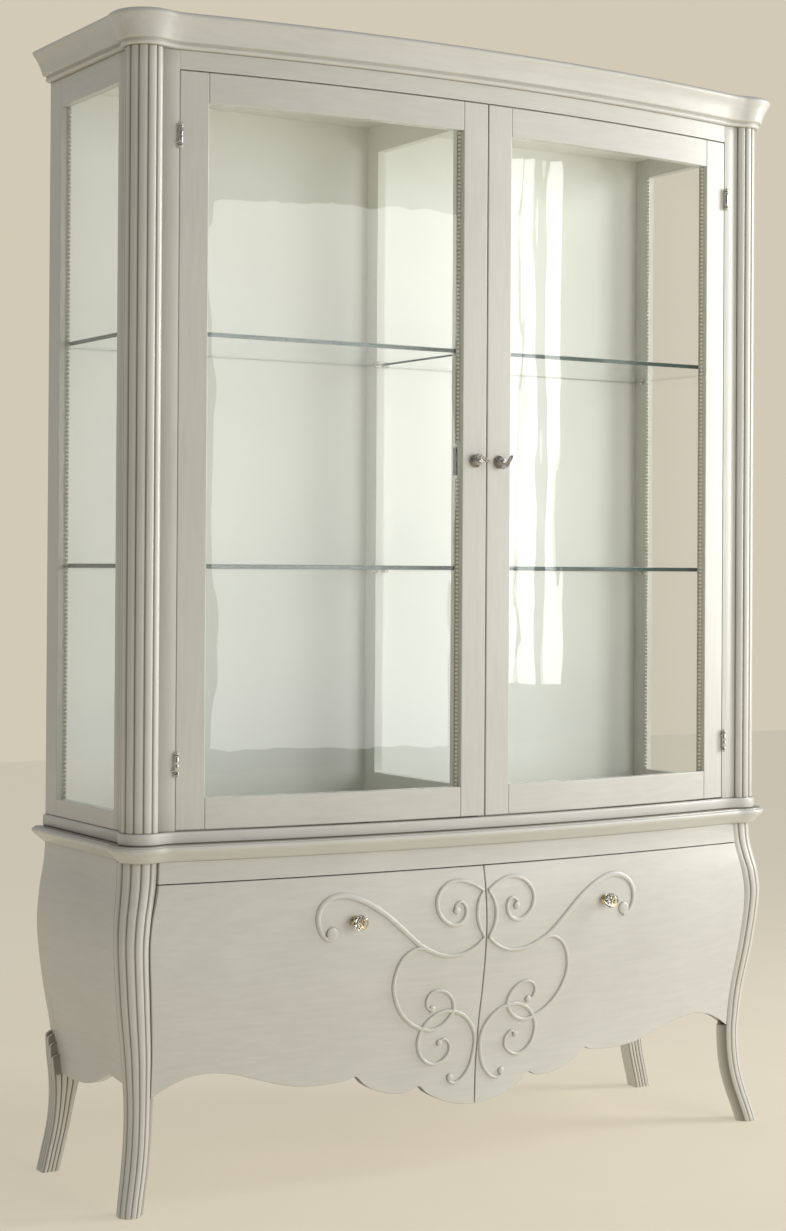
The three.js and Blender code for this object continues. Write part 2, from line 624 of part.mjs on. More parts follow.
// ---------- Upper case ----------
function plinthBoard() {
  const edge = [[5, SEAM], [5, PLINTH - 4], [3.5, PLINTH - 1], [2, PLINTH - SEAM]];
  return loft(edge.map(([offset, rise]) => planOutline(offset, UPPER_DOOR_EDGE, PLINTH_Z + rise)));
}

const HINGE_HEIGHTS = { upper: UPPER_DOOR.top - HINGE_INSET, lower: UPPER_DOOR.bottom + HINGE_INSET };
const HINGE_AXIS = { x: UPPER_DOOR_EDGE, y: -HINGE_RADIUS - 1 };

// The screw-in stub of a hinge half; side is 1 towards the column and -1 towards the door.
function hingeStub(z, side, grow) {
  const reach = HINGE_STUB_REACH + grow;
  const rod = new THREE.CylinderGeometry(HINGE_STUB + grow, HINGE_STUB + grow, reach, 10);
  rod.translate(0, reach / 2, 0).rotateZ(-side * HINGE_STUB_SPLAY);
  return rod.translate(HINGE_AXIS.x, HINGE_AXIS.y, z);
}

function column() {
  const centre = { x: CORNER_X, y: CORNER_INSET };
  const arc = reededArc(centre, CORNER_RADIUS);
  const inner = SIDE - SIDE_FRAME;
  const plan = [[UPPER_DOOR_EDGE, DOOR], [UPPER_DOOR_EDGE, 0], [arc[0][0] - 0.5, 0], ...arc,
    [SIDE, arc[arc.length - 1][1] + 0.5], [SIDE, COLUMN_END], [inner, COLUMN_END],
    [inner, DOOR + COLUMN_CHAMFER], [inner - COLUMN_CHAMFER, DOOR]];
  const post = prism(plan, UPPER_Z, CORNICE_Z - SEAM);
  const bores = Object.values(HINGE_HEIGHTS).map((z) => (
    hingeStub(z - HINGE_KNUCKLE / 2, 1, FIT)));
  return cut(post, ...bores);
}

function hingeFixed(z) {
  const knuckle = rodZ(HINGE_RADIUS, HINGE_AXIS.x, HINGE_AXIS.y, z - HINGE_KNUCKLE, z - 0.25);
  return join(knuckle, hingeStub(z - HINGE_KNUCKLE / 2, 1, 0));
}

function hingeMoving(z) {
  const knuckle = rodZ(HINGE_RADIUS, HINGE_AXIS.x, HINGE_AXIS.y, z + 0.25, z + HINGE_KNUCKLE);
  return join(knuckle, hingeStub(z + HINGE_KNUCKLE / 2, -1, 0));
}

function sideFrame() {
  const board = box(SIDE_INNER, SIDE, COLUMN_END + SEAM, BACK - SEAM, UPPER_Z, CORNICE_Z - SEAM);
  const [near, far] = [COLUMN_END - 10, BACK - REAR_STILE];
  const [low, high] = [UPPER_Z + SIDE_BOTTOM_RAIL, CORNICE_Z - SIDE_TOP_RAIL];
  const opening = box(SIDE_INNER - 1, SIDE + 1, near, far, low, high);
  const rebate = box(SIDE_INNER - 1, SIDE - REBATE_LIP, near, far + REBATE, low - REBATE, high + REBATE);
  return cut(board, opening, rebate);
}

function sideGlass() {
  const lap = REBATE - FIT;
  const outer = SIDE - REBATE_LIP - FIT;
  return box(outer - GLASS, outer, COLUMN_END + FIT, BACK - REAR_STILE + lap,
    UPPER_Z + SIDE_BOTTOM_RAIL - lap, CORNICE_Z - SIDE_TOP_RAIL + lap);
}

function upperBack() {
  const half = SIDE_INNER - FIT;
  return box(-half, half, BACK_FACE, BACK - SEAM, UPPER_Z, CORNICE_Z - SEAM);
}

const PARTITION_FRONT = -BOW + DOOR + LOCK_CASE.depth + LOCK_CLEARANCE;

function partitionFrame() {
  const half = PARTITION / 2;
  const [bottom, top] = [UPPER_Z, TOP_BOARD_Z - SEAM];
  const frame = box(-half, half, PARTITION_FRONT, BACK_FACE - SEAM, bottom, top);
  const opening = box(-half - 1, half + 1, PARTITION_FRONT + PARTITION_FRONT_STILE,
    BACK_FACE - PARTITION_REAR_STILE, bottom + PARTITION_RAIL, top - PARTITION_RAIL);
  return cut(frame, opening);
}

function strikePlate() {
  const half = STRIKE.thickness / 2;
  const [z0, z1] = [HANDLE_Z - STRIKE.height / 2, HANDLE_Z + STRIKE.height / 2];
  const y1 = PARTITION_FRONT - SEAM;
  const plate = box(-half, half, y1 - STRIKE.depth, y1, z0, z1);
  const gap = 1;
  const hole = box(-half - 1, half + 1, boltY() - gap, boltY() + BOLT.depth + gap,
    HANDLE_Z - BOLT.height / 2 - gap, HANDLE_Z + BOLT.height / 2 + gap);
  return cut(plate, hole);
}

function frieze() {
  const half = UPPER_DOOR_EDGE - SEAM;
  const place = (x, v, inset) => new THREE.Vector3(x, upperFront(x) + inset,
    THREE.MathUtils.lerp(FRIEZE_Z, CORNICE_Z - SEAM, v));
  return slab(steps(-half, half, 20), [0, 1], (x, v) => place(x, v, 0), (x, v) => place(x, v, DOOR));
}

function topBoard() {
  const half = SIDE_INNER - FIT;
  const edge = UPPER_DOOR_EDGE;
  const front = steps(-edge, edge, 16).map((x) => [x, upperFront(x) + DOOR + FIT]);
  const plan = [...front, [half - COLUMN_CHAMFER, DOOR + FIT],
    [half, DOOR + COLUMN_CHAMFER + FIT], [half, BACK_FACE - SEAM], [-half, BACK_FACE - SEAM],
    [-half, DOOR + COLUMN_CHAMFER + FIT], [-half + COLUMN_CHAMFER, DOOR + FIT]];
  return prism(plan, TOP_BOARD_Z, CORNICE_Z - SEAM);
}

function cornice() {
  const outer = [[2, 0], [10, 6], [10, 10], [18, 13], [21, 27], [29, 42], [CORNICE_REACH, 51], [37, 58],
    [28, CORNICE]];
  const inner = [[-CORNICE_WALL, CORNICE], [-CORNICE_WALL, 0]];
  return loop([...outer, ...inner].map(([offset, rise]) => (
    planOutline(offset, UPPER_DOOR_EDGE, CORNICE_Z + rise))));
}

function glassShelf(z) {
  const [near, far] = [PARTITION / 2 + SHELF_CLEARANCE, SIDE_INNER - SHELF_CLEARANCE];
  const clipped = COLUMN_CHAMFER + SHELF_CLEARANCE;
  const plan = [[near, SHELF_FRONT], [far - clipped, SHELF_FRONT], [far, SHELF_FRONT + clipped],
    [far, BACK_FACE - SHELF_CLEARANCE], [near, BACK_FACE - SHELF_CLEARANCE]];
  return prism(plan, z, z + SHELF_GLASS);
}

// ---------- Upper doors ----------
function bowedSheet(x0, x1, z0, z1, near, far) {
  const place = (x, v, inset) => new THREE.Vector3(x, upperFront(x) + inset,
    THREE.MathUtils.lerp(z0, z1, v));
  return slab(steps(x0, x1, 10), [0, 1], (x, v) => place(x, v, near), (x, v) => place(x, v, far));
}

function upperDoor() {
  const blank = bowedSheet(DOORS_MEET, UPPER_DOOR_EDGE - DOORS_MEET, UPPER_DOOR.bottom,
    UPPER_DOOR.top, 0, DOOR);
  const opening = box(PANE.inner, PANE.outer, -BOW - 20, DOOR + 20, PANE.bottom, PANE.top);
  const rebate = bowedSheet(PANE.inner - REBATE, PANE.outer + REBATE, PANE.bottom - REBATE,
    PANE.top + REBATE, REBATE_LIP, DOOR + 5);
  const spindleBore = rodY(SPINDLE + FIT, HANDLE_X, HANDLE_Z, -BOW - 20, DOOR);
  const bores = Object.values(HINGE_HEIGHTS).map((z) => (
    hingeStub(z + HINGE_KNUCKLE / 2, -1, FIT)));
  return cut(blank, opening, rebate, spindleBore, ...bores);
}

function doorGlass() {
  const lap = REBATE - FIT * 2;
  return bowedSheet(PANE.inner - lap, PANE.outer + lap, PANE.bottom - lap, PANE.top + lap,
    REBATE_LIP + FIT, REBATE_LIP + FIT + GLASS);
}

const HANDLE_FACE = upperFront(HANDLE_X - ROSETTE_RADIUS) - FIT;

function rosette() {
  const hole = SPINDLE + FIT;
  const ring = [[hole, 0], [ROSETTE_RADIUS, 0], [ROSETTE_RADIUS, 1.8], [11, 3.4], [9, 2.8],
    [7, ROSETTE_THICKNESS], [hole, ROSETTE_THICKNESS]];
  return turned(ring, HANDLE_X, HANDLE_FACE, HANDLE_Z, 24);
}

// A lever whose arm arches past its hub and runs out to one side. Turn is 1 where the arch is
// above the hub and -1 where it is below, and tilt is how far the arm is turned upward.
function lever(x, turn, tilt) {
  const hubBack = HANDLE_FACE - ROSETTE_THICKNESS - FIT;
  const armY = HANDLE_FACE - LEVER_STANDOFF;
  const route = [[-0.34, 0.24], [-0.1, 0.4], [0.2, 0.38], [0.56, 0.2], [0.85, 0], [1, -0.1]];
  const curve = new THREE.CatmullRomCurve3(route.map(([along, up]) => (
    new THREE.Vector3(along, 0, turn * up).multiplyScalar(LEVER_REACH)
      .applyAxisAngle(new THREE.Vector3(0, -1, 0), tilt)
      .add(new THREE.Vector3(x, armY, HANDLE_Z)))));
  const arm = sweep(curve, circle(LEVER_THICKNESS, 7), 14);
  const hub = rodY(HUB_RADIUS + 2.5, x, HANDLE_Z, armY - LEVER_THICKNESS, armY + LEVER_THICKNESS);
  const neck = rodY(HUB_RADIUS, x, HANDLE_Z, armY, hubBack);
  const spindle = rodY(SPINDLE, x, HANDLE_Z, hubBack - 2, HANDLE_FACE + DOOR + 7);
  return join(hub, neck, spindle, arm);
}

function lockCaseY() {
  return upperFront(0) + DOOR + 1.2;
}

function boltY() {
  return lockCaseY() + (LOCK_CASE.depth - BOLT.depth) / 2;
}

function lockCase() {
  const x0 = LOCK_CASE.inset;
  const y0 = lockCaseY();
  const half = LOCK_CASE.height / 2;
  const body = box(x0, x0 + LOCK_CASE.width, y0, y0 + LOCK_CASE.depth, HANDLE_Z - half, HANDLE_Z + half);
  const slot = box(x0 - 1, x0 + BOLT.length + 4, boltY() - FIT, boltY() + BOLT.depth + FIT,
    HANDLE_Z - BOLT.height / 2 - FIT, HANDLE_Z + BOLT.height / 2 + FIT);
  const bore = rodY(SPINDLE + FIT, HANDLE_X, HANDLE_Z, y0 - 1, boltY());
  return cut(body, slot, bore);
}

// The bolt at rest is drawn back into its case; it slides towards the strike plate.
function bolt() {
  const x0 = LOCK_CASE.inset + BOLT.setback;
  const relief = rodY(SPINDLE + 1, HANDLE_X, HANDLE_Z, boltY() - 1, boltY() + BOLT.depth + 1);
  const slide = rodY(SPINDLE + 1, HANDLE_X + BOLT.throw, HANDLE_Z, boltY() - 1,
    boltY() + BOLT.depth + 1);
  const bar = box(x0, x0 + BOLT.length, boltY(), boltY() + BOLT.depth,
    HANDLE_Z - BOLT.height / 2, HANDLE_Z + BOLT.height / 2);
  const between = box(HANDLE_X, HANDLE_X + BOLT.throw, boltY() - 1, boltY() + BOLT.depth + 1,
    HANDLE_Z - SPINDLE - 1, HANDLE_Z + SPINDLE + 1);
  return cut(bar, relief, slide, between);
}

// ---------- Assembly ----------
const cabinet = new THREE.Group();
cabinet.position.y = -(BACK - BOW - CORNICE_REACH) / 2;

function add(name, geometry, material) {
  const mesh = new THREE.Mesh(geometry, material);
  mesh.name = name;
  cabinet.add(mesh);
}

function addPair(name, geometry, material) {
  add(`${name}_right`, geometry, material());
  add(`${name}_left`, mirrored(geometry), material());
}

addPair('leg_front', frontLeg(), lacquer);
addPair('leg_rear', rearLeg(), lacquer);
addPair('base_side', baseSidePanel(), lacquer);
add('base_back', baseBack(), linerPaint());
add('base_floor', innerBoard(FLOOR_BOARD_Z, PANEL, 4), linerPaint());
add('base_shelf', innerBoard(BASE_SHELF_Z, PANEL, BASE_SHELF_SETBACK), linerPaint());
add('base_frieze', baseFrieze(), lacquer());
add('base_top', baseTop(), lacquer());

addPair('base_door', baseDoor(), lacquer);
addPair('scroll_relief', scrollRelief(), lacquer);
addPair('knob_mount', knobMount(), gilt);
addPair('knob_crystal', knobCrystal(), crystal);
for (const [level, z] of Object.entries(BASE_HINGE_HEIGHTS)) {
  addPair(`base_hinge_${level}`, baseHinge(z), nickel);
}

add('plinth_board', plinthBoard(), lacquer());
addPair('column', column(), lacquer);
addPair('side_frame', sideFrame(), lacquer);
addPair('side_glass', sideGlass(), pane);
add('upper_back', upperBack(), linerPaint());
add('partition_frame', partitionFrame(), linerPaint());
add('strike_plate', strikePlate(), nickel());
add('frieze', frieze(), lacquer());
add('top_board', topBoard(), linerPaint());
add('cornice', cornice(), lacquer());
for (const [level, z] of Object.entries(SHELF_HEIGHTS)) {
  addPair(`shelf_${level}`, glassShelf(z), pane);
}

addPair('upper_door', upperDoor(), lacquer);
addPair('door_glass', doorGlass(), pane);
for (const [level, z] of Object.entries(HINGE_HEIGHTS)) {
  addPair(`hinge_fixed_${level}`, hingeFixed(z), nickel);
  addPair(`hinge_moving_${level}`, hingeMoving(z), nickel);
}
addPair('rosette', rosette(), pewter);
add('lever_right', lever(HANDLE_X, -1, LEVER_TILT), pewter());
add('lever_left', lever(-HANDLE_X, 1, 0), pewter());
addPair('lock_case', lockCase(), blackSteel);
addPair('bolt', bolt(), nickel);

export default cabinet;
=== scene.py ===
"""Looks of the curio cabinet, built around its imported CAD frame. Shapes are in millimetres in the
cabinet's own plan (y = 0 at the flat front plane) and go into the frame through spot()."""
import math

import bmesh
import bpy
from mathutils import Matrix, Vector


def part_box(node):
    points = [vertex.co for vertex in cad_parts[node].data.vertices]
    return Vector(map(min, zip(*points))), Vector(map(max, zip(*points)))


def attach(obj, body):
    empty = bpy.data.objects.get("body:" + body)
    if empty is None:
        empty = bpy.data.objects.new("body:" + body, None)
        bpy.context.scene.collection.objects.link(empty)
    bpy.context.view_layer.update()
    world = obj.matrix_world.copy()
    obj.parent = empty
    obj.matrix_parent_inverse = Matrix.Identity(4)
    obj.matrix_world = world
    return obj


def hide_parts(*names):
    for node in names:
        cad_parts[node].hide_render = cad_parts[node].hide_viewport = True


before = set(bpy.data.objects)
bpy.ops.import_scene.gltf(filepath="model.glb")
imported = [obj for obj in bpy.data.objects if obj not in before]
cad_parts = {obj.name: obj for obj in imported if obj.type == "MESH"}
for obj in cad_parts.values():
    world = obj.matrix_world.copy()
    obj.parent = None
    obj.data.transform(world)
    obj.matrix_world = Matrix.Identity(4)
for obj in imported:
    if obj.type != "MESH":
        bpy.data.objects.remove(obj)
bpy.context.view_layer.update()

# ---------- Sizes, as in the CAD source ----------
DOOR_EDGE, BASE_EDGE, BOW, BASE_BOW, BACK = 641.0, 676.0, 56.0, 50.0, 398.0
BASE_H, PLINTH_Z, UPPER_Z, CORNICE_Z = 634.0, 666.0, 688.0, 2110.0
FRIEZE_Z, SIDE = 2075.0, 724.0
CORNER_X, CORNER_Y, CORNER_R = 697.3, 26.5, 34.5
PANEL, DOOR, BASE_DOOR, SIDE_FRAME = 18.0, 22.0, 20.0, 20.0
STILE, LIP, GLASS = 56.0, 9.0, 4.0
GLASS_LAP = 7.4            # how far a pane reaches behind its frame
COLUMN_END = 83.0
REAR_STILE = 52.0          # of the side frame
SIDE_RAIL, SIDE_HEAD = 33.0, 54.0
BOTTOM_RAIL = 58.0         # of an upper door
DOOR_GAP = 2.0             # above and below an upper door
SEAM = 1.2                 # from the middle to a door's edge
FIT = 0.2                  # left between one piece and the next
SHELF_HEIGHTS = (1166.0, 1594.0)
SHELF_GLASS = 8.0
BASE_TOP_OF_DOOR = BASE_H - 41.5
FOOT_TOP = 186.0           # where the rear leg meets the side panel
REAR_LEG_TOP = 271.0
APRON = 202.0              # where the front leg meets the apron
HINGE_HEIGHTS = (("upper", 1953.0), ("lower", 810.0))
FAN, DIAGONAL = math.radians(84), -math.pi / 4
REEDS, RISE = 6, 0.085
BELLY = [(0.19, -25), (0.32, -21.5), (0.45, -11.5), (0.55, 0.5), (0.66, 11), (0.76, 16),
         (0.86, 11.5), (0.94, 3), (1, 0)]
LEG_SWING = [(0, 23), (0.05, 15.5), (0.12, 4.5), (0.19, -3), (0.28, -6.5), (0.36, -5.5),
             (0.45, -2), (0.6, 9.5), (0.76, 18), (0.84, 13.5), (0.89, 6), (0.94, 0), (1, -2.5)]
LEG_RADIUS = [(0, 21.5), (0.12, 22.8), (0.3, 23.6), (0.45, 27.6), (0.6, 31), (0.76, 32.5),
              (0.93, 36.5), (1, 37)]
REAR_OUT = [(0, 15), (0.06, 6), (0.12, -3), (0.17, -8), (0.22, -10), (0.28, -9), (0.35, -4),
            (0.43, -1)]
REAR_WIDTH = [(0, 36), (0.15, 38), (0.22, 44), (0.28, 53), (0.43, 58)]
FRONT_SCALLOP = [(0, 125), (0.045, 128), (0.09, 135), (0.13, 146), (0.165, 159), (0.19, 173),
                 (0.215, 166), (0.25, 164), (0.29, 167), (0.34, 178), (0.37, 190), (0.396, 206),
                 (0.42, 201), (0.46, 198), (0.53, 197), (0.59, 201), (0.64, 209), (0.7, 221),
                 (0.77, 235), (0.84, 241), (0.9, 236), (0.955, 221), (1, 203)]
SIDE_SCALLOP = [(0.08, 196), (0.14, 209), (0.2, 219), (0.27, 226), (0.35, 230), (0.39, 222),
                (0.45, 212), (0.52, 201), (0.6, 193), (0.7, 188), (0.8, 187), (0.9, 189), (1, 192)]
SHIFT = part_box("upper_back")[1].y - (BACK - 0.2) / 1000


def spot(p):
    """A point of the plan, in millimetres, as a point of the frame, in metres."""
    return Vector((p[0] / 1000, p[1] / 1000 + SHIFT, p[2] / 1000))


def lerp(a, b, t):
    return a + (b - a) * t


def steps(a, b, n):
    return [lerp(a, b, i / n) for i in range(n + 1)]


def profile(table, at):
    """Smooth curve through the listed points."""
    last = len(table) - 1
    if at <= table[0][0]:
        return table[0][1]
    if at >= table[last][0]:
        return table[last][1]
    i = next(n for n, row in enumerate(table) if row[0] > at) - 1

    def tangent(n):
        a, b = max(n - 1, 0), min(n + 1, last)
        return (table[b][1] - table[a][1]) / (table[b][0] - table[a][0])

    width = table[i + 1][0] - table[i][0]
    t = (at - table[i][0]) / width
    rise = table[i + 1][1] - table[i][1]
    a, b = tangent(i) * width, tangent(i + 1) * width
    return table[i][1] + t * (a + t * ((3 * rise - 2 * a - b) + t * (a + b - 2 * rise)))


def refined(table, n):
    """The shares of a table's rows, with each stretch between them divided in n."""
    shares = [row[0] for row in table]
    return [v for a, b in zip(shares, shares[1:]) for v in steps(a, b, n)[:-1]] + [shares[-1]]


def upper_front(x):
    return -BOW * max(0.0, 1 - (x / DOOR_EDGE) ** 2)


def belly(z):
    return profile(BELLY, z / BASE_H)


def base_front(x, z):
    return -BASE_BOW * (1 - (x / BASE_EDGE) ** 2) - belly(z)


def leg_axis(z):
    """Centre and radius of the front leg's reeded round at a height."""
    swing = profile(LEG_SWING, z / BASE_H)
    return CORNER_X + swing, CORNER_Y + 10 - swing, profile(LEG_RADIUS, z / BASE_H)


def door_edge(z):
    x, _, radius = leg_axis(z)
    return x + radius * math.cos(DIAGONAL - FAN)


def side_edge(z):
    _, y, radius = leg_axis(z)
    return y + radius * math.sin(DIAGONAL + FAN)


def bump(t):
    """Cross-section of one reed: 0 in the groove and 1 on the crown."""
    return (1 - abs(2 * t - 1) ** 2.3) ** 0.6


def reed_arc(x, y, radius, n=10):
    """Plan of a reeded round, with how deep in a groove each point lies; the lacquer turns that depth into
    patina and painted shade.
    """
    points, dark = [], []
    for i in range(REEDS * n + 1):
        angle = DIAGONAL - FAN + 2 * FAN * i / (REEDS * n)
        t = (i % n) / n
        reach = radius * (1 + RISE * bump(t))
        points.append((x + reach * math.cos(angle), y + reach * math.sin(angle)))
        dark.append(max(0.0, 1 - 6 * min(t, 1 - t)))
    return points, dark


def bezier(points, n):
    """Points along a cubic curve, its two ends left out."""
    a, b, c, d = points
    return [tuple((1 - t) ** 3 * p + 3 * t * (1 - t) ** 2 * q + 3 * t * t * (1 - t) * r + t ** 3 * e
                  for p, q, r, e in zip(a, b, c, d)) for t in steps(0, 1, n)[1:-1]]


def outline(offset, bow_edge, front=36, corner=26):
    """Plan of a moulding that stands out from the carcass by the given offset. It swells from the
    bowed front into the round corner, and meets the side at an angle."""
    radius = CORNER_R + 2.5 + 0.85 * offset
    side = SIDE + offset
    start = math.radians(-108)
    end = math.atan2(math.sqrt(radius ** 2 - (side - CORNER_X) ** 2), side - CORNER_X)
    arc = [(CORNER_X + radius * math.cos(a), CORNER_Y + radius * math.sin(a))
           for a in steps(start, end, corner)]

    def bow(x):
        return (x, -BOW * max(0.0, 1 - (x / bow_edge) ** 2) - offset)

    leave = CORNER_X - 52
    turn = (arc[0][0] + 13 * math.sin(start), arc[0][1] - 13 * math.cos(start))
    swell = bezier((bow(leave), bow(leave + 14), turn, arc[0]), 9)
    half = [bow(x) for x in steps(0, leave, front)[1:]] + swell + arc
    half += [(side, lerp(arc[-1][1], BACK, 0.5)), (side, BACK + min(offset, 0))]
    return [(-x, y) for x, y in reversed(half)] + [bow(0)] + half


# ---------- Materials ----------
def tree(name):
    """A new material with its nodes, its links and its shader."""
    material = bpy.data.materials.new(name)
    material.use_nodes = True
    nodes = material.node_tree.nodes
    shader = nodes["Principled BSDF"]
    return material, nodes, material.node_tree.links, shader


def noise(nodes, links, scale, stretch, detail=4, rough=0.55):
    """Noise in object space, stretched along the grain."""
    place = nodes.new("ShaderNodeTexCoord")
    mapping = nodes.new("ShaderNodeMapping")
    mapping.inputs["Scale"].default_value = stretch
    texture = nodes.new("ShaderNodeTexNoise")
    texture.inputs["Scale"].default_value = scale
    texture.inputs["Detail"].default_value = detail
    texture.inputs["Roughness"].default_value = rough
    links.new(place.outputs["Object"], mapping.inputs["Vector"])
    links.new(mapping.outputs["Vector"], texture.inputs["Vector"])
    return texture.outputs["Fac"]


def ramp(nodes, links, source, stops):
    node = nodes.new("ShaderNodeValToRGB")
    links.new(source, node.inputs["Fac"])
    elements = node.color_ramp.elements
    while len(elements) < len(stops):
        elements.new(0.5)
    for element, (at, colour) in zip(elements, stops):
        element.position = at
        element.color = (*colour, 1)
    return node.outputs["Color"]


def mix(nodes, links, factor, a, b, kind="MIX"):
    node = nodes.new("ShaderNodeMix")
    node.data_type = "RGBA"
    node.blend_type = kind
    for socket, value in ((node.inputs[0], factor), (node.inputs[6], a), (node.inputs[7], b)):
        if isinstance(value, (int, float)):
            socket.default_value = value
        elif isinstance(value, tuple):
            socket.default_value = (*value, 1)
        else:
            links.new(value, socket)
    return node.outputs[2]


def bump_node(nodes, links, height, strength, distance, shader):
    node = nodes.new("ShaderNodeBump")
    node.inputs["Strength"].default_value = strength
    node.inputs["Distance"].default_value = distance
    links.new(height, node.inputs["Height"])
    links.new(node.outputs["Normal"], shader.inputs["Normal"])


def lacquer(name, stretch, light=(0.66, 0.652, 0.607), dark=(0.595, 0.587, 0.542)):
    """Pearl off-white lacquer, brushed along the wood, with patina and painted shade darkening the grooves.
    """
    material, nodes, links, shader = tree(name)
    streak = noise(nodes, links, 9, stretch, 6, 0.6)
    cloud = noise(nodes, links, 3.2, (1, 1, 1), 3)
    blend = mix(nodes, links, 0.5, streak, cloud)
    colour = ramp(nodes, links, blend, [(0.36, dark), (0.62, light)])
    groove = nodes.new("ShaderNodeAttribute")
    groove.attribute_name = "crevice"
    # The crevice mask darkens the colour here: partly patina, partly painted shade.
    patina_and_shade = mix(nodes, links, groove.outputs["Fac"], (1.0, 1.0, 1.0), (0.40, 0.37, 0.31))
    colour = mix(nodes, links, 1.0, colour, patina_and_shade, "MULTIPLY")
    links.new(colour, shader.inputs["Base Color"])
    spread = ramp(nodes, links, streak, [(0.3, (0.30, 0.30, 0.30)), (0.7, (0.40, 0.40, 0.40))])
    links.new(spread, shader.inputs["Roughness"])
    shader.inputs["Coat Weight"].default_value = 0.35
    shader.inputs["Coat Roughness"].default_value = 0.22
    fine = noise(nodes, links, 60, stretch, 5, 0.7)
    bump_node(nodes, links, fine, 0.12, 0.0006, shader)
    return material


def paint(name, colour, rough=0.5):
    """Plain paint with a faint cloud and an orange-peel grain."""
    material, nodes, links, shader = tree(name)
    cloud = noise(nodes, links, 5, (1, 1, 1), 5)
    tone = ramp(nodes, links, cloud, [(0.3, tuple(c * 0.94 for c in colour)), (0.7, colour)])
    links.new(tone, shader.inputs["Base Color"])
    spread = ramp(nodes, links, cloud, [(0.3, (rough - 0.05,) * 3), (0.7, (rough + 0.06,) * 3)])
    links.new(spread, shader.inputs["Roughness"])
    grain = noise(nodes, links, 420, (1, 1, 1), 2)
    bump_node(nodes, links, grain, 0.08, 0.0003, shader)
    return material


def metal(name, colour, dark, rough, scale=40):
    """Metal with a tarnish cloud, and painted shade that turns it near black in its crevices."""
    material, nodes, links, shader = tree(name)
    cloud = noise(nodes, links, scale, (1, 1, 1), 5, 0.65)
    tone = ramp(nodes, links, cloud, [(0.35, dark), (0.6, colour)])
    groove = nodes.new("ShaderNodeAttribute")
    groove.attribute_name = "crevice"
    # Painted shade: the crevice mask turns the metal near black in its hollows and joints.
    tone = mix(nodes, links, groove.outputs["Fac"], tone, (0.035, 0.03, 0.025))
    links.new(tone, shader.inputs["Base Color"])
    spread = ramp(nodes, links, cloud, [(0.3, (rough * 0.8,) * 3), (0.7, (rough * 1.35,) * 3)])
    links.new(spread, shader.inputs["Roughness"])
    shader.inputs["Metallic"].default_value = 1.0
    fine = noise(nodes, links, 900, (1, 1, 1), 2)
    bump_node(nodes, links, fine, 0.08, 0.0001, shader)
    return material


def clear(name, tint, ior=1.45, lamps=True, ripple=0.03):
    """Clear glass; rays from lamps pass straight through panes."""
    material, nodes, links, shader = tree(name)
    shader.inputs["Base Color"].default_value = (*tint, 1)
    shader.inputs["Roughness"].default_value = 0.0
    shader.inputs["IOR"].default_value = ior
    shader.inputs["Transmission Weight"].default_value = 1.0
    waves = noise(nodes, links, 5, (3, 3, 0.6), 2, 0.4)
    bump_node(nodes, links, waves, ripple, 0.002, shader)
    if lamps:
        path = nodes.new("ShaderNodeLightPath")
        open_way = nodes.new("ShaderNodeBsdfTransparent")
        open_way.inputs["Color"].default_value = (*tint, 1)
        share = nodes.new("ShaderNodeMixShader")
        either = nodes.new("ShaderNodeMath")
        either.operation = "MAXIMUM"
        links.new(path.outputs["Is Shadow Ray"], either.inputs[0])
        links.new(path.outputs["Is Diffuse Ray"], either.inputs[1])
        links.new(either.outputs[0], share.inputs[0])
        links.new(shader.outputs[0], share.inputs[1])
        links.new(open_way.outputs[0], share.inputs[2])
        links.new(share.outputs[0], nodes["Material Output"].inputs["Surface"])
    return material


UPRIGHT = lacquer("lacquer_upright", (14, 14, 1.2))
LEVEL = lacquer("lacquer_level", (1.2, 14, 14))
DEEP = lacquer("lacquer_side", (14, 1.2, 14))
# Near-black lacquer for the doors' lower edges: painted shade.
SHADED_UNDER_EDGE = lacquer("lacquer_painted_shade_edge", (1.2, 14, 14), (0.05, 0.046, 0.038), (0.02, 0.019, 0.016))
LINER = paint("liner_paint", (0.89, 0.90, 0.85))
PEARL = paint("pearl_trim", (0.86, 0.84, 0.74), 0.3)
# A darker copy of the pearl trim paint: painted shade for the trim deep in the side frames.
SHADED_PEARL = paint("pearl_painted_shade", (0.58, 0.55, 0.44), 0.4)
# Dark taupe strip behind the door beads: painted shade.
SHADE_BAND = paint("painted_shade_band", (0.42, 0.40, 0.33), 0.45)
PANE = clear("pane_glass", (0.985, 0.995, 0.99), ripple=0.22)
PLATE_GLASS = clear("plate_glass", (0.985, 0.995, 0.99))
EDGE = paint("glass_edge", (0.012, 0.05, 0.04), 0.1)
CRYSTAL = clear("cut_crystal", (0.96, 0.96, 0.95), 1.75, False)
GILT = metal("gilt_brass", (0.72, 0.56, 0.30), (0.42, 0.30, 0.14), 0.2)
NICKEL = metal("nickel", (0.74, 0.73, 0.70), (0.56, 0.55, 0.52), 0.18)
PEWTER = metal("pewter", (0.82, 0.79, 0.75), (0.34, 0.32, 0.29), 0.32, 120)
BLACK = paint("black_enamel", (0.025, 0.025, 0.02), 0.4)


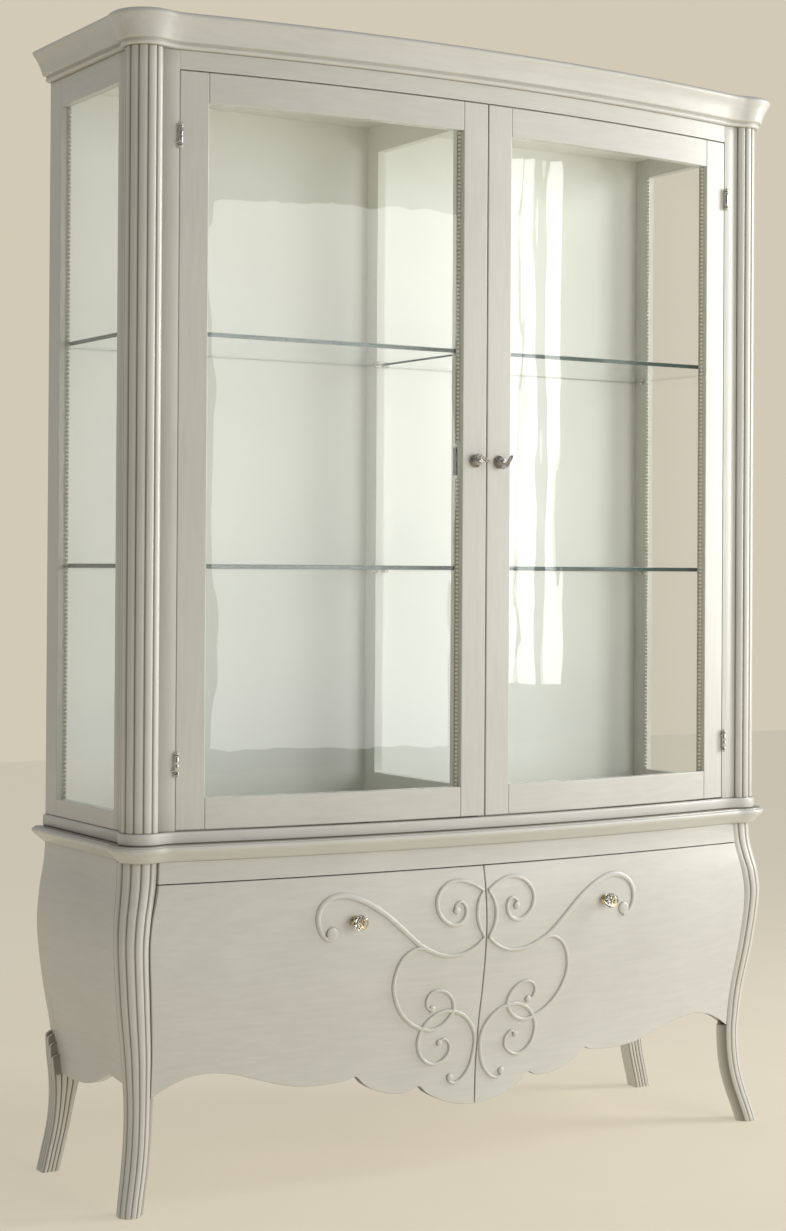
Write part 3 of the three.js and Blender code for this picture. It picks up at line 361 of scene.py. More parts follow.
# ---------- Mesh building ----------
class Piece:
    """Gathers closed shells, then becomes one object."""

    def __init__(self):
        self.points, self.faces, self.dark, self.slots = [], [], [], []

    def add(self, points, faces, dark=None, slot=0):
        base = len(self.points)
        self.points += [tuple(p) for p in points]
        self.faces += [[base + i for i in face] for face in faces]
        self.dark += list(dark) if dark else [0.0] * len(points)
        self.slots += [slot] * len(faces)
        return self

    def rings(self, rings, dark=None, caps=True, loop=False, slot=0):
        """Closed rings of equal length, joined one after the other."""
        n = len(rings[0])
        pairs = [(r, r + 1) for r in range(len(rings) - 1)] + ([(len(rings) - 1, 0)] if loop else [])
        faces = [[a * n + i, a * n + (i + 1) % n, b * n + (i + 1) % n, b * n + i]
                 for a, b in pairs for i in range(n)]
        if caps and not loop:
            faces += [list(range(n))[::-1], [(len(rings) - 1) * n + i for i in range(n)]]
        return self.add([p for ring in rings for p in ring], faces, dark, slot)

    def sheet(self, us, vs, front, back, slot=0):
        """A board with two curved faces."""
        rings = [[front(u, v) for u in us] + [back(u, v) for u in reversed(us)] for v in vs]
        n, m = len(us) * 2, len(us)
        faces = [[r * n + i, r * n + (i + 1) % n, (r + 1) * n + (i + 1) % n, (r + 1) * n + i]
                 for r in range(len(rings) - 1) for i in range(n)]
        for r in (0, len(rings) - 1):
            faces += [[r * n + i, r * n + i + 1, r * n + n - 2 - i, r * n + n - 1 - i]
                      for i in range(m - 1)]
        return self.add([p for ring in rings for p in ring], faces, None, slot)

    def box(self, x0, x1, y0, y1, z0, z1, slot=0):
        corners = [(x, y, z) for z in (z0, z1) for x, y in ((x0, y0), (x1, y0), (x1, y1), (x0, y1))]
        faces = [[3, 2, 1, 0], [4, 5, 6, 7], [0, 1, 5, 4], [1, 2, 6, 5], [2, 3, 7, 6], [3, 0, 4, 7]]
        return self.add(corners, faces, None, slot)

    def turned(self, section, centre, axis, n=32, dark=None, wave=None, slot=0):
        """A turned shape: section lists (radius, distance along axis), and both ends are capped."""
        z = Vector(axis).normalized()
        x = z.orthogonal().normalized()
        y = z.cross(x)
        points, shade = [], []
        for k, (radius, along) in enumerate(section):
            for i in range(n):
                angle = 2 * math.pi * i / n
                r = radius * (wave(angle, k) if wave else 1)
                out = x * math.cos(angle) + y * math.sin(angle)
                points.append(Vector(centre) + z * along + out * r)
                shade.append(dark[k] if dark else 0.0)
        count = len(section)
        faces = [[a * n + i, a * n + (i + 1) % n, (a + 1) * n + (i + 1) % n, (a + 1) * n + i]
                 for a in range(count - 1) for i in range(n)]
        faces += [list(range(n))[::-1], [(count - 1) * n + i for i in range(n)]]
        return self.add(points, faces, shade, slot)

    def bead(self, centre, radius, n=8, m=5):
        points, faces = [], []
        for j in range(1, m):
            lat = math.pi * j / m
            for i in range(n):
                a = 2 * math.pi * i / n
                points.append((centre[0] + radius * math.sin(lat) * math.cos(a),
                               centre[1] + radius * math.sin(lat) * math.sin(a),
                               centre[2] + radius * math.cos(lat)))
        points += [(centre[0], centre[1], centre[2] + radius), (centre[0], centre[1], centre[2] - radius)]
        top, bottom = len(points) - 2, len(points) - 1
        faces += [[j * n + i, j * n + (i + 1) % n, (j + 1) * n + (i + 1) % n, (j + 1) * n + i]
                  for j in range(m - 2) for i in range(n)]
        faces += [[top, (i + 1) % n, i] for i in range(n)]
        faces += [[bottom, (m - 2) * n + i, (m - 2) * n + (i + 1) % n] for i in range(n)]
        return self.add(points, faces)

    def mirrored(self):
        other = Piece()
        other.points = [(-p[0], p[1], p[2]) for p in self.points]
        other.faces = [face[::-1] for face in self.faces]
        other.dark, other.slots = list(self.dark), list(self.slots)
        return other

    def make(self, name, materials, body, slot, stands_for=(), bevel=0.0, sharp=38, flat=False):
        mesh = bpy.data.meshes.new(name)
        mesh.from_pydata([spot(p) for p in self.points], [], self.faces)
        for material in materials if isinstance(materials, (list, tuple)) else [materials]:
            mesh.materials.append(material)
        mesh.polygons.foreach_set("material_index", self.slots)
        # Per-point darkening read by the materials: painted shade in grooves, joints and hollows, with
        # patina on the lacquer.
        shade = mesh.attributes.new("crevice", "FLOAT", "POINT")
        shade.data.foreach_set("value", self.dark)
        work = bmesh.new()
        work.from_mesh(mesh)
        bmesh.ops.recalc_face_normals(work, faces=work.faces)
        for face in work.faces:
            face.smooth = not flat
        for edge in work.edges:
            edge.smooth = edge.calc_face_angle(0.0) < math.radians(sharp)
        work.to_mesh(mesh)
        work.free()
        piece = bpy.data.objects.new(name, mesh)
        bpy.context.scene.collection.objects.link(piece)
        if bevel:
            modifier = piece.modifiers.new("soft_edges", "BEVEL")
            modifier.width = bevel / 1000
            modifier.segments = 2
            modifier.limit_method = "ANGLE"
            modifier.angle_limit = math.radians(45)
            modifier.harden_normals = True
        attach(piece, body)
        if stands_for:
            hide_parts(*stands_for)
        return piece


def both(piece, name, materials, body, slot, stands_for=(), **options):
    """The right-hand piece and its mirror image; {} in a name becomes right or left."""
    for side, shape in (("right", piece), ("left", piece.mirrored())):
        shape.make(f"{name}_{side}", materials, body.format(side), slot,
                   [n.format(side) for n in stands_for], **options)


# ---------- Base ----------
def front_leg():
    """Reeded sabre leg. Above the apron its inner corner is cut back to clear the door."""
    rings, dark = [], []
    levels = [0.0, 1.2, 4.0] + steps(12, APRON, 28) + [APRON + 0.4] + steps(APRON + 8, BASE_H - FIT, 62)
    for z in levels:
        x, y, radius = leg_axis(z)
        shrink = 1.2 if z == 0 else (0.4 if z == 1.2 else 0)
        arc, shade = reed_arc(x, y, radius - shrink)
        depth = (20 - shrink) * math.sqrt(0.5)
        far = (arc[-1][0] - depth, arc[-1][1] + depth)
        near = (arc[0][0] - depth, arc[0][1] + depth)
        if z > APRON:
            edge = arc[0][0] + 0.3
            t = (edge - far[0]) / (near[0] - far[0])
            near = (edge, lerp(far[1], near[1], t))
        rings.append([(px, py, z) for px, py in arc + [far, near]])
        dark += shade + [0.2, 0.2]
    return Piece().rings(rings, dark)


both(front_leg(), "reeded_leg_front", UPRIGHT, "case", "lacquer", ["leg_front_{}"], sharp=60)

REED_TOPS = [227.0, 250.0, 264.0, 270.0]
REAR_FRONT = BACK - 34.2
REED_PITCH = (BACK - 0.3 - REAR_FRONT - 1) / len(REED_TOPS)


def rear_strip(z):
    outer = SIDE + profile(REAR_OUT, z / BASE_H)
    return outer - profile(REAR_WIDTH, z / BASE_H), outer


def panel_inner(z):
    """X of the side panel's inner face, with room left before it."""
    return SIDE + belly(z) - PANEL - 0.4


def groove_shade(t, width):
    return max(0.0, 1 - width * min(t, 1 - t))


def rear_leg():
    """A core with four reeds on its side face, which end in steps, and four on its front face."""
    piece = Piece()
    levels = steps(0, FOOT_TOP, 26) + [FOOT_TOP + 0.4] + steps(192, REAR_LEG_TOP, 12)
    core = []
    for z in levels:
        inner, outer = rear_strip(z)
        limit = outer - 4 if z <= FOOT_TOP else min(outer - 4, panel_inner(z))
        core.append([(inner, REAR_FRONT + 3, z), (limit, REAR_FRONT + 3, z), (limit, BACK - 0.3, z),
                     (inner, BACK - 0.3, z)])
    piece.rings(core)
    for i, top in enumerate(REED_TOPS):
        y0 = REAR_FRONT + 1 + i * REED_PITCH
        rings, dark = [], []
        for z in steps(0, FOOT_TOP, 24) + [FOOT_TOP + 0.4] + steps(190, top, 22):
            outer = rear_strip(z)[1]
            back = outer - 5 if z <= FOOT_TOP else min(outer - 5, panel_inner(z))
            over = max(0.0, (z - (top - 11)) / 11)
            reach = lerp(back + 1, outer - 2.6, math.sqrt(max(0.0, 1 - over ** 2)))
            swell = 2.6 * math.sqrt(max(0.0, 1 - over ** 2))
            face = [(reach + swell * bump(t), y0 + REED_PITCH * t, z) for t in steps(0, 1, 10)]
            rings.append([(back, y0 + REED_PITCH, z), (back, y0, z)] + face)
            dark += [0.6, 0.6] + [groove_shade(t, 6) for t in steps(0, 1, 10)]
        piece.rings(rings, dark)
    for i in range(4):
        rings, dark = [], []
        for z in steps(0, FOOT_TOP, 24):
            inner, outer = rear_strip(z)
            inner, outer = inner + 1, outer - 3
            x0, x1 = lerp(inner, outer, i / 4), lerp(inner, outer, (i + 1) / 4)
            face = [(lerp(x0, x1, t), REAR_FRONT + 2.6 - 2.6 * bump(t), z) for t in steps(0, 1, 10)]
            rings.append([(x1, REAR_FRONT + 4, z), (x0, REAR_FRONT + 4, z)] + face)
            dark += [0.8, 0.8] + [groove_shade(t, 5) for t in steps(0, 1, 10)]
        piece.rings(rings, dark)
    return piece


both(rear_leg(), "reeded_leg_rear", UPRIGHT, "case", "lacquer", ["leg_rear_{}"], sharp=60)


def side_panel():
    """Bombe panel with a scalloped lower edge, stepped at the back round the tops of the reeds."""
    shares = refined(SIDE_SCALLOP, 5)
    columns = [(BACK * s, profile(SIDE_SCALLOP, s)) for s in shares if BACK * s < REAR_FRONT - 0.4]
    columns = [(64.0, profile(SIDE_SCALLOP, 64 / BACK))] + [c for c in columns if c[0] > 66]
    columns.append((REAR_FRONT - 0.3, 189.0))
    for i, top in enumerate(REED_TOPS):
        y0 = REAR_FRONT + 1 + i * REED_PITCH
        columns += [(y0 - 0.25, top - 3), (y0 + REED_PITCH - 0.35, top - 3)]
    first, last = columns[0][0], columns[-1][0]

    def place(column, v, inset):
        y, low = column
        z = lerp(low, BASE_H - FIT, v)
        u = (y - first) / (last - first)
        start = side_edge(z) + 0.3 + inset
        y = lerp(start, y, min(1.0, u * 6)) if u < 1 / 6 else y
        return (SIDE + belly(z) - inset, y, z)

    return Piece().sheet(columns, steps(0, 1, 44), lambda c, v: place(c, v, 0),
                         lambda c, v: place(c, v, PANEL))


both(side_panel(), "bombe_side", DEEP, "case", "lacquer", ["base_side_{}"], bevel=0.8)


def base_door():
    """Bombe door with a scalloped apron, whose lower edge takes a second material, a near-black lacquer
    that is painted shade.
    """
    us = refined(FRONT_SCALLOP, 5)

    def place(u, v, inset):
        z = lerp(profile(FRONT_SCALLOP, lerp(SEAM, BASE_EDGE, u) / BASE_EDGE), BASE_TOP_OF_DOOR, v)
        x = lerp(SEAM, door_edge(z) - 1, u)
        return (x, base_front(x, z) + inset, z)

    piece = Piece().sheet(us, steps(0, 1, 48), lambda u, v: place(u, v, 0),
                          lambda u, v: place(u, v, BASE_DOOR - FIT))
    caps = len(us) - 1
    # The bottom caps take the painted-shade lacquer.
    piece.slots[-2 * caps:-caps] = [1] * caps
    return piece


both(base_door(), "bombe_door", [LEVEL, SHADED_UNDER_EDGE], "base_door_{}_body", "lacquer", ["base_door_{}"],
     bevel=1.4)


def bowed_strip(half, z0, z1, depth, front, rows=6):
    """A board that follows the front from side to side; half is its half width, or a function."""
    def place(u, v, inset):
        z = lerp(z0, z1, v)
        x = u * (half(z) if callable(half) else half)
        return (x, front(x, z) + inset, z)

    return Piece().sheet(steps(-1, 1, 64), steps(0, 1, rows), lambda u, v: place(u, v, 0),
                         lambda u, v: place(u, v, depth))


bowed_strip(lambda z: door_edge(z) - FIT, BASE_TOP_OF_DOOR + 2, BASE_H - FIT, BASE_DOOR, base_front).make(
    "base_frieze_board", LEVEL, "case", "lacquer", ["base_frieze"], bevel=0.8)


def moulding(edge, bow_edge, z, loop=False):
    """A moulding round the carcass; edge lists (offset, rise, crevice) up its section, and the crevice
    values are painted shade along its edges and in its steps.
    """
    rings = [[(x, y, z + rise) for x, y in outline(offset, bow_edge)] for offset, rise, _ in edge]
    dark = [shade for _, _, shade in edge for _ in rings[0]]
    return Piece().rings(rings, dark, loop=loop)


def arc_edge(centre, radius, start, end, n, dark=0.0):
    return [(centre[0] + radius * math.cos(math.radians(a)),
             centre[1] + radius * math.sin(math.radians(a)), dark) for a in steps(start, end, n)]


BASE_TOP_EDGE = [(2, 0, 0.8), (3, 0.8, 0.2), (6, 3.2, 0), (10.5, 7, 0), (15.5, 11.2, 0), (20.2, 15, 0),
                 (24.4, 18.6, 0), (27.2, 21.6, 0), (28.3, 24.4, 0), (27.8, 27, 0), (25.9, 28.8, 0),
                 (23.4, 29.4, 0.7), (22.6, 29.8, 0.4), (22.2, 30.8, 0), (21.4, 31.8, 0.9)]
moulding(BASE_TOP_EDGE, BASE_EDGE, BASE_H).make(
    "base_top_moulding", LEVEL, "case", "lacquer", ["base_top"], sharp=50)

PLINTH_EDGE = [(3.6, 0.2, 1.0), (4.6, 1.2, 0.5), (5, 2.4, 0.0), (5, 17, 0.0), (4.6, 18.6, 0.0),
               (3.4, 19.9, 0.0), (2.2, 20.8, 0.4), (1.6, 21.8, 0.9)]
moulding(PLINTH_EDGE, DOOR_EDGE, PLINTH_Z).make(
    "plinth_moulding", LEVEL, "case", "lacquer", ["plinth_board"], sharp=50)

CORNICE_EDGE = ([(1.5, 0, 0.6), (5.5, 0.6, 0.2)] + arc_edge((6, 5), 4.4, -80, 60, 7)
                + [(8.8, 9.4, 0.35), (9.6, 10.8, 0.35), (14.5, 11.4, 0.1), (16.6, 12.4, 0.0),
                   (17.2, 14.4, 0.0), (19.2, 20, 0.0), (22.4, 28, 0.0), (26.6, 36, 0.0),
                   (31.6, 43.6, 0.0), (36, 49, 0.0)]
                + arc_edge((33.4, 53.6), 4.9, -25, 80, 7) + [(30, 61, 0.0), (24, 62.6, 0.0)])
moulding(CORNICE_EDGE + [(-11, 62.6, 0.0), (-11, 0, 0.3)], DOOR_EDGE, CORNICE_Z, loop=True).make(
    "cornice_moulding", LEVEL, "case", "lacquer", ["cornice"], sharp=50)


# ---------- Scroll relief and knobs ----------
STRANDS = [
    ([(339, 474), (352, 477), (362, 489), (368, 506), (367, 524), (357, 541), (338, 552), (314, 555),
      (288, 549), (258, 535), (227, 515), (197, 490), (171, 467), (148, 449), (125, 437), (104, 429),
      (80, 425), (52, 427), (26, 438), (5, 455)], 5.8),
    ([(5, 455), (18, 480), (22, 504), (17, 528), (6, 546)], 4.2),
    ([(6, 546), (30, 560), (58, 568), (85, 564), (104, 550), (113, 530), (108, 507), (93, 491),
      (74, 484), (57, 490), (48, 505), (50, 520), (60, 528), (71, 522), (72, 511)], 4.4),
    ([(132, 441), (155, 445), (172, 440), (188, 427), (199, 405), (203, 375), (195, 345), (179, 319),
      (156, 298), (132, 286), (108, 281), (85, 289), (69, 305), (63, 322), (70, 341), (85, 354),
      (104, 359), (120, 354), (127, 340), (122, 325), (110, 321)], 4.2),
    ([(59, 186), (61, 176), (47, 172), (30, 181), (15, 202), (8, 230), (7, 257), (17, 282), (37, 303),
      (62, 314), (88, 315), (112, 305), (129, 287), (137, 263), (132, 238), (118, 221), (98, 213),
      (79, 219), (66, 233), (66, 250), (78, 261), (90, 256)], 4.2),
]
EYES = [(340, 486, 12.4), (70, 512, 7.2), (112, 323, 7), (60, 184, 7), (89, 255, 6)]


def smooth_route(points, n=7):
    """Catmull-Rom curve through the points."""
    ends = [points[0]] + list(points) + [points[-1]]
    route = []
    for a, b, c, d in zip(ends, ends[1:], ends[2:], ends[3:]):
        for i in range(n):
            t = i / n
            route.append(tuple(0.5 * (2 * q + (r - p) * t + (2 * p - 5 * q + 4 * r - s) * t * t
                                      + (3 * q - p - 3 * r + s) * t ** 3)
                               for p, q, r, s in zip(a, b, c, d)))
    return route + [tuple(points[-1])]


def walk(route):
    """Each point of a route in X and Z, with its number and the direction across the route."""
    last = len(route) - 1
    for k, (x, z) in enumerate(route):
        ax, az = route[max(k - 1, 0)]
        bx, bz = route[min(k + 1, last)]
        length = math.hypot(bx - ax, bz - az)
        yield k, x, z, (-(bz - az) / length, (bx - ax) / length)


def scroll():
    """Raised strands that lie on the door's face, and the round bosses that end them, with painted shadow
    along their edges and round their feet.
    """
    piece = Piece()
    for points, half in STRANDS:
        route = smooth_route(points)
        rings, dark, last = [], [], len(route) - 1
        for k, x, z, across in walk(route):
            width = half * (0.62 + 0.38 * math.sin(math.pi * min(1, k / last * 1.15)) ** 0.7)
            ring = []
            for a in steps(0, math.pi, 10):
                side = math.cos(a) * width
                lift = 4.4 * math.sin(a) ** 0.8 - 0.4
                px, pz = max(SEAM + 0.6, x + across[0] * side), z + across[1] * side
                ring.append((px, base_front(px, pz) - lift, pz))
                # Painted shadow lines along both edges of the strand.
                dark.append(1.0 if a < 0.2 or a > 2.94 else 0.0)
            ring.append((x, base_front(x, z) + 1.5, z))
            dark.append(0.8)
            rings.append(ring)
        piece.rings(rings, dark)
    for x, z, radius in EYES:
        dome = [(radius, -2), (radius, 2.2), (0.93 * radius, 3.2), (0.7 * radius, 4.3),
                (0.36 * radius, 4.9), (0.05 * radius, 5.1)]
        # Painted shade round the foot of each boss.
        piece.turned(dome, (x, base_front(x, z), z), (0, -1, 0), 28, [0.8, 0.5, 0, 0, 0, 0])
    return piece


both(scroll(), "scrollwork", LEVEL, "base_door_{}_body", "lacquer", ["scroll_relief_{}"], sharp=70)

KNOB = (292.0, base_front(292.0, 507.0) - 1.2, 507.0)
KNOB_RADIUS = 15.0
KNOB_STEM = [(0.5, -1), (10, -1), (10.2, 0.8), (9.6, 1.6), (7.4, 2.2), (6.6, 3.0), (4.8, 3.8),
             (4.4, 5.2), (4.8, 6.4), (5.8, 7.2), (7.4, 7.7), (8.6, 8.4), (8.8, 9.6), (8.2, 10.2),
             (0.5, 10.2)]
both(Piece().turned(KNOB_STEM, KNOB, (0, -1, 0), 40), "knob_stem", GILT, "base_door_{}_body",
     "gilt_metal", ["knob_mount_{}"], sharp=50)


def crystal():
    """Faceted knob; every other ring is turned half a facet."""
    levels = [(0.5, 0.2), (0.84, 3), (1.0, 8), (0.98, 14), (0.78, 19.4), (0.42, 22.8)]
    n, points, faces = 10, [], []
    for k, (share, along) in enumerate(levels):
        for i in range(n):
            a = 2 * math.pi * (i + 0.5 * (k % 2)) / n
            points.append((KNOB[0] + KNOB_RADIUS * share * math.cos(a), KNOB[1] - 10.3 - along,
                           KNOB[2] + KNOB_RADIUS * share * math.sin(a)))
    for k in range(len(levels) - 1):
        for i in range(n):
            j = (i + 1) % n
            a, b, c, d = k * n + i, k * n + j, (k + 1) * n + i, (k + 1) * n + j
            faces += [[a, b, d], [a, d, c]] if k % 2 else [[a, b, c], [b, d, c]]
    faces += [list(range(n))[::-1], [(len(levels) - 1) * n + i for i in range(n)]]
    return Piece().add(points, faces)


both(crystal(), "cut_knob", CRYSTAL, "base_door_{}_body", "crystal", ["knob_crystal_{}"], flat=True,
     sharp=1)


# ---------- Upper case ----------
def column():
    """Corner post: a flat beside the door, the reeded round, and a flat beside the side glass."""
    arc, shade = reed_arc(CORNER_X, CORNER_Y, CORNER_R)
    inner = SIDE - SIDE_FRAME
    plan = ([(DOOR_EDGE, DOOR), (DOOR_EDGE, 0), (arc[0][0] - 1.2, 0), (arc[0][0] - 0.4, 0.8)] + arc
            + [(SIDE - 0.8, arc[-1][1] + 0.4), (SIDE, arc[-1][1] + 1.2), (SIDE, COLUMN_END),
               (inner, COLUMN_END), (inner, DOOR + 20), (inner - 20, DOOR)])
    dark = [0, 0, 0.2, 0.9] + shade + [0.9, 0.2, 0, 0, 0, 0]
    levels = ([UPPER_Z, UPPER_Z + 2] + steps(UPPER_Z + 40, CORNICE_Z - 40, 6)
              + [CORNICE_Z - 2, CORNICE_Z - FIT])
    end_shade = [0.9, 0.15] + [0] * 7 + [0.15, 0.9]
    rings = [[(x, y, z) for x, y in plan] for z in levels]
    return Piece().rings(rings, [min(1, d + e) for e in end_shade for d in dark])


both(column(), "reeded_column", UPRIGHT, "case", "lacquer", ["column_{}"], sharp=60)


SIDE_LOW, SIDE_HIGH = UPPER_Z + SIDE_RAIL, CORNICE_Z - SIDE_HEAD


def side_frame():
    """Rear stile with a top and a bottom rail, whose grain runs the other way."""
    inner, near, far = SIDE - SIDE_FRAME, COLUMN_END + FIT, BACK - REAR_STILE - FIT
    piece = Piece().box(inner, SIDE, BACK - REAR_STILE, BACK - FIT, UPPER_Z, CORNICE_Z - FIT)
    piece.box(inner, SIDE, near, far, UPPER_Z, SIDE_LOW, 1)
    return piece.box(inner, SIDE, near, far, SIDE_HIGH, CORNICE_Z - FIT, 1)


both(side_frame(), "side_frame_parts", [UPRIGHT, DEEP], "case", "lacquer", ["side_frame_{}"], bevel=1.0)

bowed_strip(DOOR_EDGE - FIT, FRIEZE_Z, CORNICE_Z - FIT, DOOR, lambda x, z: upper_front(x), 2).make(
    "bowed_frieze", LEVEL, "case", "lacquer", ["frieze"], bevel=0.9)


def bowed(piece, x0, x1, z0, z1, near, far, n, slot=0):
    """Adds a sheet that follows the upper front, from near to far behind it."""
    def place(x, z, inset):
        return (x, upper_front(x) + inset, z)

    return piece.sheet(steps(x0, x1, n), steps(z0, z1, 1), lambda x, z: place(x, z, near),
                       lambda x, z: place(x, z, far), slot)


DOOR_LOW, DOOR_HIGH = UPPER_Z + DOOR_GAP, FRIEZE_Z - DOOR_GAP
SIGHT_LOW, SIGHT_HIGH = DOOR_LOW + BOTTOM_RAIL, DOOR_HIGH - STILE


def upper_door():
    """Two stiles and two rails, with a fine joint line between them."""
    near, far = STILE + 0.15, DOOR_EDGE - STILE - 0.15
    piece = Piece()
    bowed(piece, SEAM, STILE, DOOR_LOW, DOOR_HIGH, 0, DOOR, 6)
    bowed(piece, DOOR_EDGE - STILE, DOOR_EDGE - SEAM, DOOR_LOW, DOOR_HIGH, 0, DOOR, 6)
    bowed(piece, near, far, DOOR_LOW, SIGHT_LOW, 0.1, DOOR, 40, 1)
    return bowed(piece, near, far, SIGHT_HIGH, DOOR_HIGH, 0.1, DOOR, 40, 1)


both(upper_door(), "bowed_door", [UPRIGHT, LEVEL], "upper_door_{}_body", "lacquer",
     ["upper_door_{}"], bevel=1.9, sharp=30)

both(bowed(Piece(), STILE - GLASS_LAP, DOOR_EDGE - STILE + GLASS_LAP, SIGHT_LOW - GLASS_LAP,
           SIGHT_HIGH + GLASS_LAP, LIP + 0.3, LIP + 0.3 + GLASS, 48),
     "bent_pane", PANE, "upper_door_{}_body", "clear_glass", ["door_glass_{}"])


def shelf(z):
    """Glass shelf with its outer front corner cut off; its rim takes the edge material."""
    near, far, front, rear = 11.0, SIDE - SIDE_FRAME - 2, DOOR + 5, BACK - 14
    plan = [(near, front), (far - 22, front), (far, front + 22), (far, rear), (near, rear)]
    rings = [[(x, y, z) for x, y in plan], [(x, y, z + SHELF_GLASS) for x, y in plan]]
    piece = Piece().rings(rings)
    piece.slots = [1] * len(plan) + [0, 0]
    return piece


for level, height in zip(("lower", "upper"), SHELF_HEIGHTS):
    both(shelf(height), f"glass_shelf_{level}", [PLATE_GLASS, EDGE], "case", "clear_glass",
         [f"shelf_{level}_{{}}"], bevel=0.5)

PIN = [(0.3, -4), (2.6, -4), (2.6, 1), (4.2, 1.2), (4.2, 2.4), (2.6, 2.8), (2.6, 9), (2.1, 9.8),
       (0.3, 9.8)]
PIN_DEPTHS = ((32.0, 96.0), (340.0, 358.0))      # on the partition and on the side frame
pins = Piece()
for height in SHELF_HEIGHTS:
    for inner_y, outer_y in PIN_DEPTHS:
        pins.turned(PIN, (9, inner_y, height - 2.8), (1, 0, 0), 16)
        pins.turned(PIN, (SIDE - SIDE_FRAME, outer_y, height - 2.8), (-1, 0, 0), 16)
both(pins, "shelf_pins", NICKEL, "case", "nickel", sharp=50)


# ---------- Pearl trim along the glass ----------
def pearls(piece, x, y, low, high, pitch=8.0, radius=3.5):
    """Adds an upright row of small beads."""
    count = int((high - low) / pitch)
    for i in range(count + 1):
        piece.bead((x, y, lerp(low + radius, high - radius, i / count)), radius)
    return piece


# The side trim takes the darker pearl, as painted shade.
both(pearls(Piece(), SIDE - 19.2, BACK - 56.5, SIDE_LOW, SIDE_HIGH), "pearl_trim_side", SHADED_PEARL,
     "case", "lacquer", sharp=180)
HANDLE = (28.0, upper_front(14.0) - 0.3, 1377.0)
LOCK_BREAK = 34.0          # the trim stops this far above and below the handle, for the lock case
NEAR_LATH, FAR_LATH = STILE + 1.4, DOOR_EDGE - STILE - 1.4
RUNS = ((NEAR_LATH, SIGHT_LOW, HANDLE[2] - LOCK_BREAK), (NEAR_LATH, HANDLE[2] + LOCK_BREAK, SIGHT_HIGH),
        (FAR_LATH, SIGHT_LOW, SIGHT_HIGH))
trim, backing = Piece(), Piece()
for x, low, high in RUNS:
    pearls(trim, x, upper_front(x) + 16.4, low, high)
    # The dark band behind each run of beads is painted shade.
    backing.box(x - 4.5, x + 4, upper_front(x) + 18.6, upper_front(x) + 21.4, low, high)
both(trim, "pearl_trim_door", PEARL, "upper_door_{}_body", "lacquer", sharp=180)
both(backing, "pearl_backing_door", SHADE_BAND, "upper_door_{}_body", "lacquer", bevel=0.8)

# ---------- Door fittings ----------
PLATE = [(4.3, -0.1), (12.9, -0.1), (13.3, 0.5), (12.9, 1.5), (12, 2.2), (11, 1.4), (10.1, 2.6),
         (9, 3.4), (8.0, 2.2), (7.0, 4.2), (5.6, 4.9), (4.3, 5.0)]
# Painted shade in the plate's grooves and at its inner edge.
PLATE_DARK = [0.5, 0.2, 0, 0, 0, 1.0, 0.3, 0, 1.0, 0.2, 0, 0.3]


def petals(angle, ring):
    """Scallops round the plate's rim, and petals nearer its middle."""
    if ring in (2, 3, 4):
        return 1 + 0.035 * math.cos(14 * angle)
    return 1 + 0.06 * math.cos(8 * angle) if ring in (6, 7) else 1


both(Piece().turned(PLATE, HANDLE, (0, -1, 0), 84, PLATE_DARK, petals), "handle_rose", PEWTER,
     "upper_door_{}_body", "pewter", ["rosette_{}"], sharp=50)


REACH, STANDOFF = 24.0, 15.0       # of a lever's arm, along the door and out from it


def lever(x, turn, tilt):
    """Ribbed arm that arches past its hub and runs out to one side. Its route is in shares of its
    reach, and turn is 1 when it arches upward and -1 when it sags."""
    hub = [(0.4, 5.4), (5.2, 5.4), (5.6, 6.4), (4.6, 7.4), (4.8, 9.6), (7.2, 10.8), (8, 12.4),
           (7.8, 15), (6.8, 16.6), (4.4, 17.4), (3.8, 16.4), (2.6, 16.8), (0.4, 17.6)]
    # Painted shade in the hub's grooves and under its rim.
    shade = [0.4, 0.2, 0, 0.8, 0.6, 0, 0, 0, 0, 0.2, 1.0, 0.3, 0]
    piece = Piece().turned(hub, (x, HANDLE[1], HANDLE[2]), (0, -1, 0), 40, shade)
    shape = [(-0.36, 0.2), (-0.27, 0.34), (-0.08, 0.42), (0.2, 0.38), (0.4, 0.28), (0.62, 0.14),
             (0.84, -0.01), (1.02, -0.13)]
    cosine, sine = math.cos(tilt), math.sin(tilt)
    route = smooth_route([(x + REACH * (a * cosine - turn * b * sine),
                           HANDLE[2] + REACH * (a * sine + turn * b * cosine)) for a, b in shape], 6)
    rings, dark, last = [], [], len(route) - 1
    for k, px, pz, across in walk(route):
        half = 3.9 * min(1, 0.4 + 4 * min(k, last - k) / last)
        ring = []
        for s in steps(-1, 1, 20):
            ridge = 0.5 - 0.5 * math.cos(2 * math.pi * 1.5 * (s + 1))
            lift = 1.0 + 1.3 * (1 - s ** 4) + 0.9 * ridge
            ring.append((px + across[0] * half * s, HANDLE[1] - STANDOFF - lift, pz + across[1] * half * s))
            # Painted shade in the hollows between the ribs.
            dark.append(0.8 * (1 - ridge) ** 3)
        ring += [(px + across[0] * half * s, HANDLE[1] - STANDOFF + 2.4, pz + across[1] * half * s)
                 for s in (0.7, -0.7)]
        dark += [0.3, 0.3]
        rings.append(ring)
    return piece.rings(rings, dark)


for side, way, turn, tilt in (("right", 1, -1, math.radians(24)), ("left", -1, 1, 0)):
    lever(way * HANDLE[0], turn, tilt).make(f"lever_arm_{side}", PEWTER, f"lever_{side}_body",
                                            "pewter", [f"lever_{side}"], sharp=60)

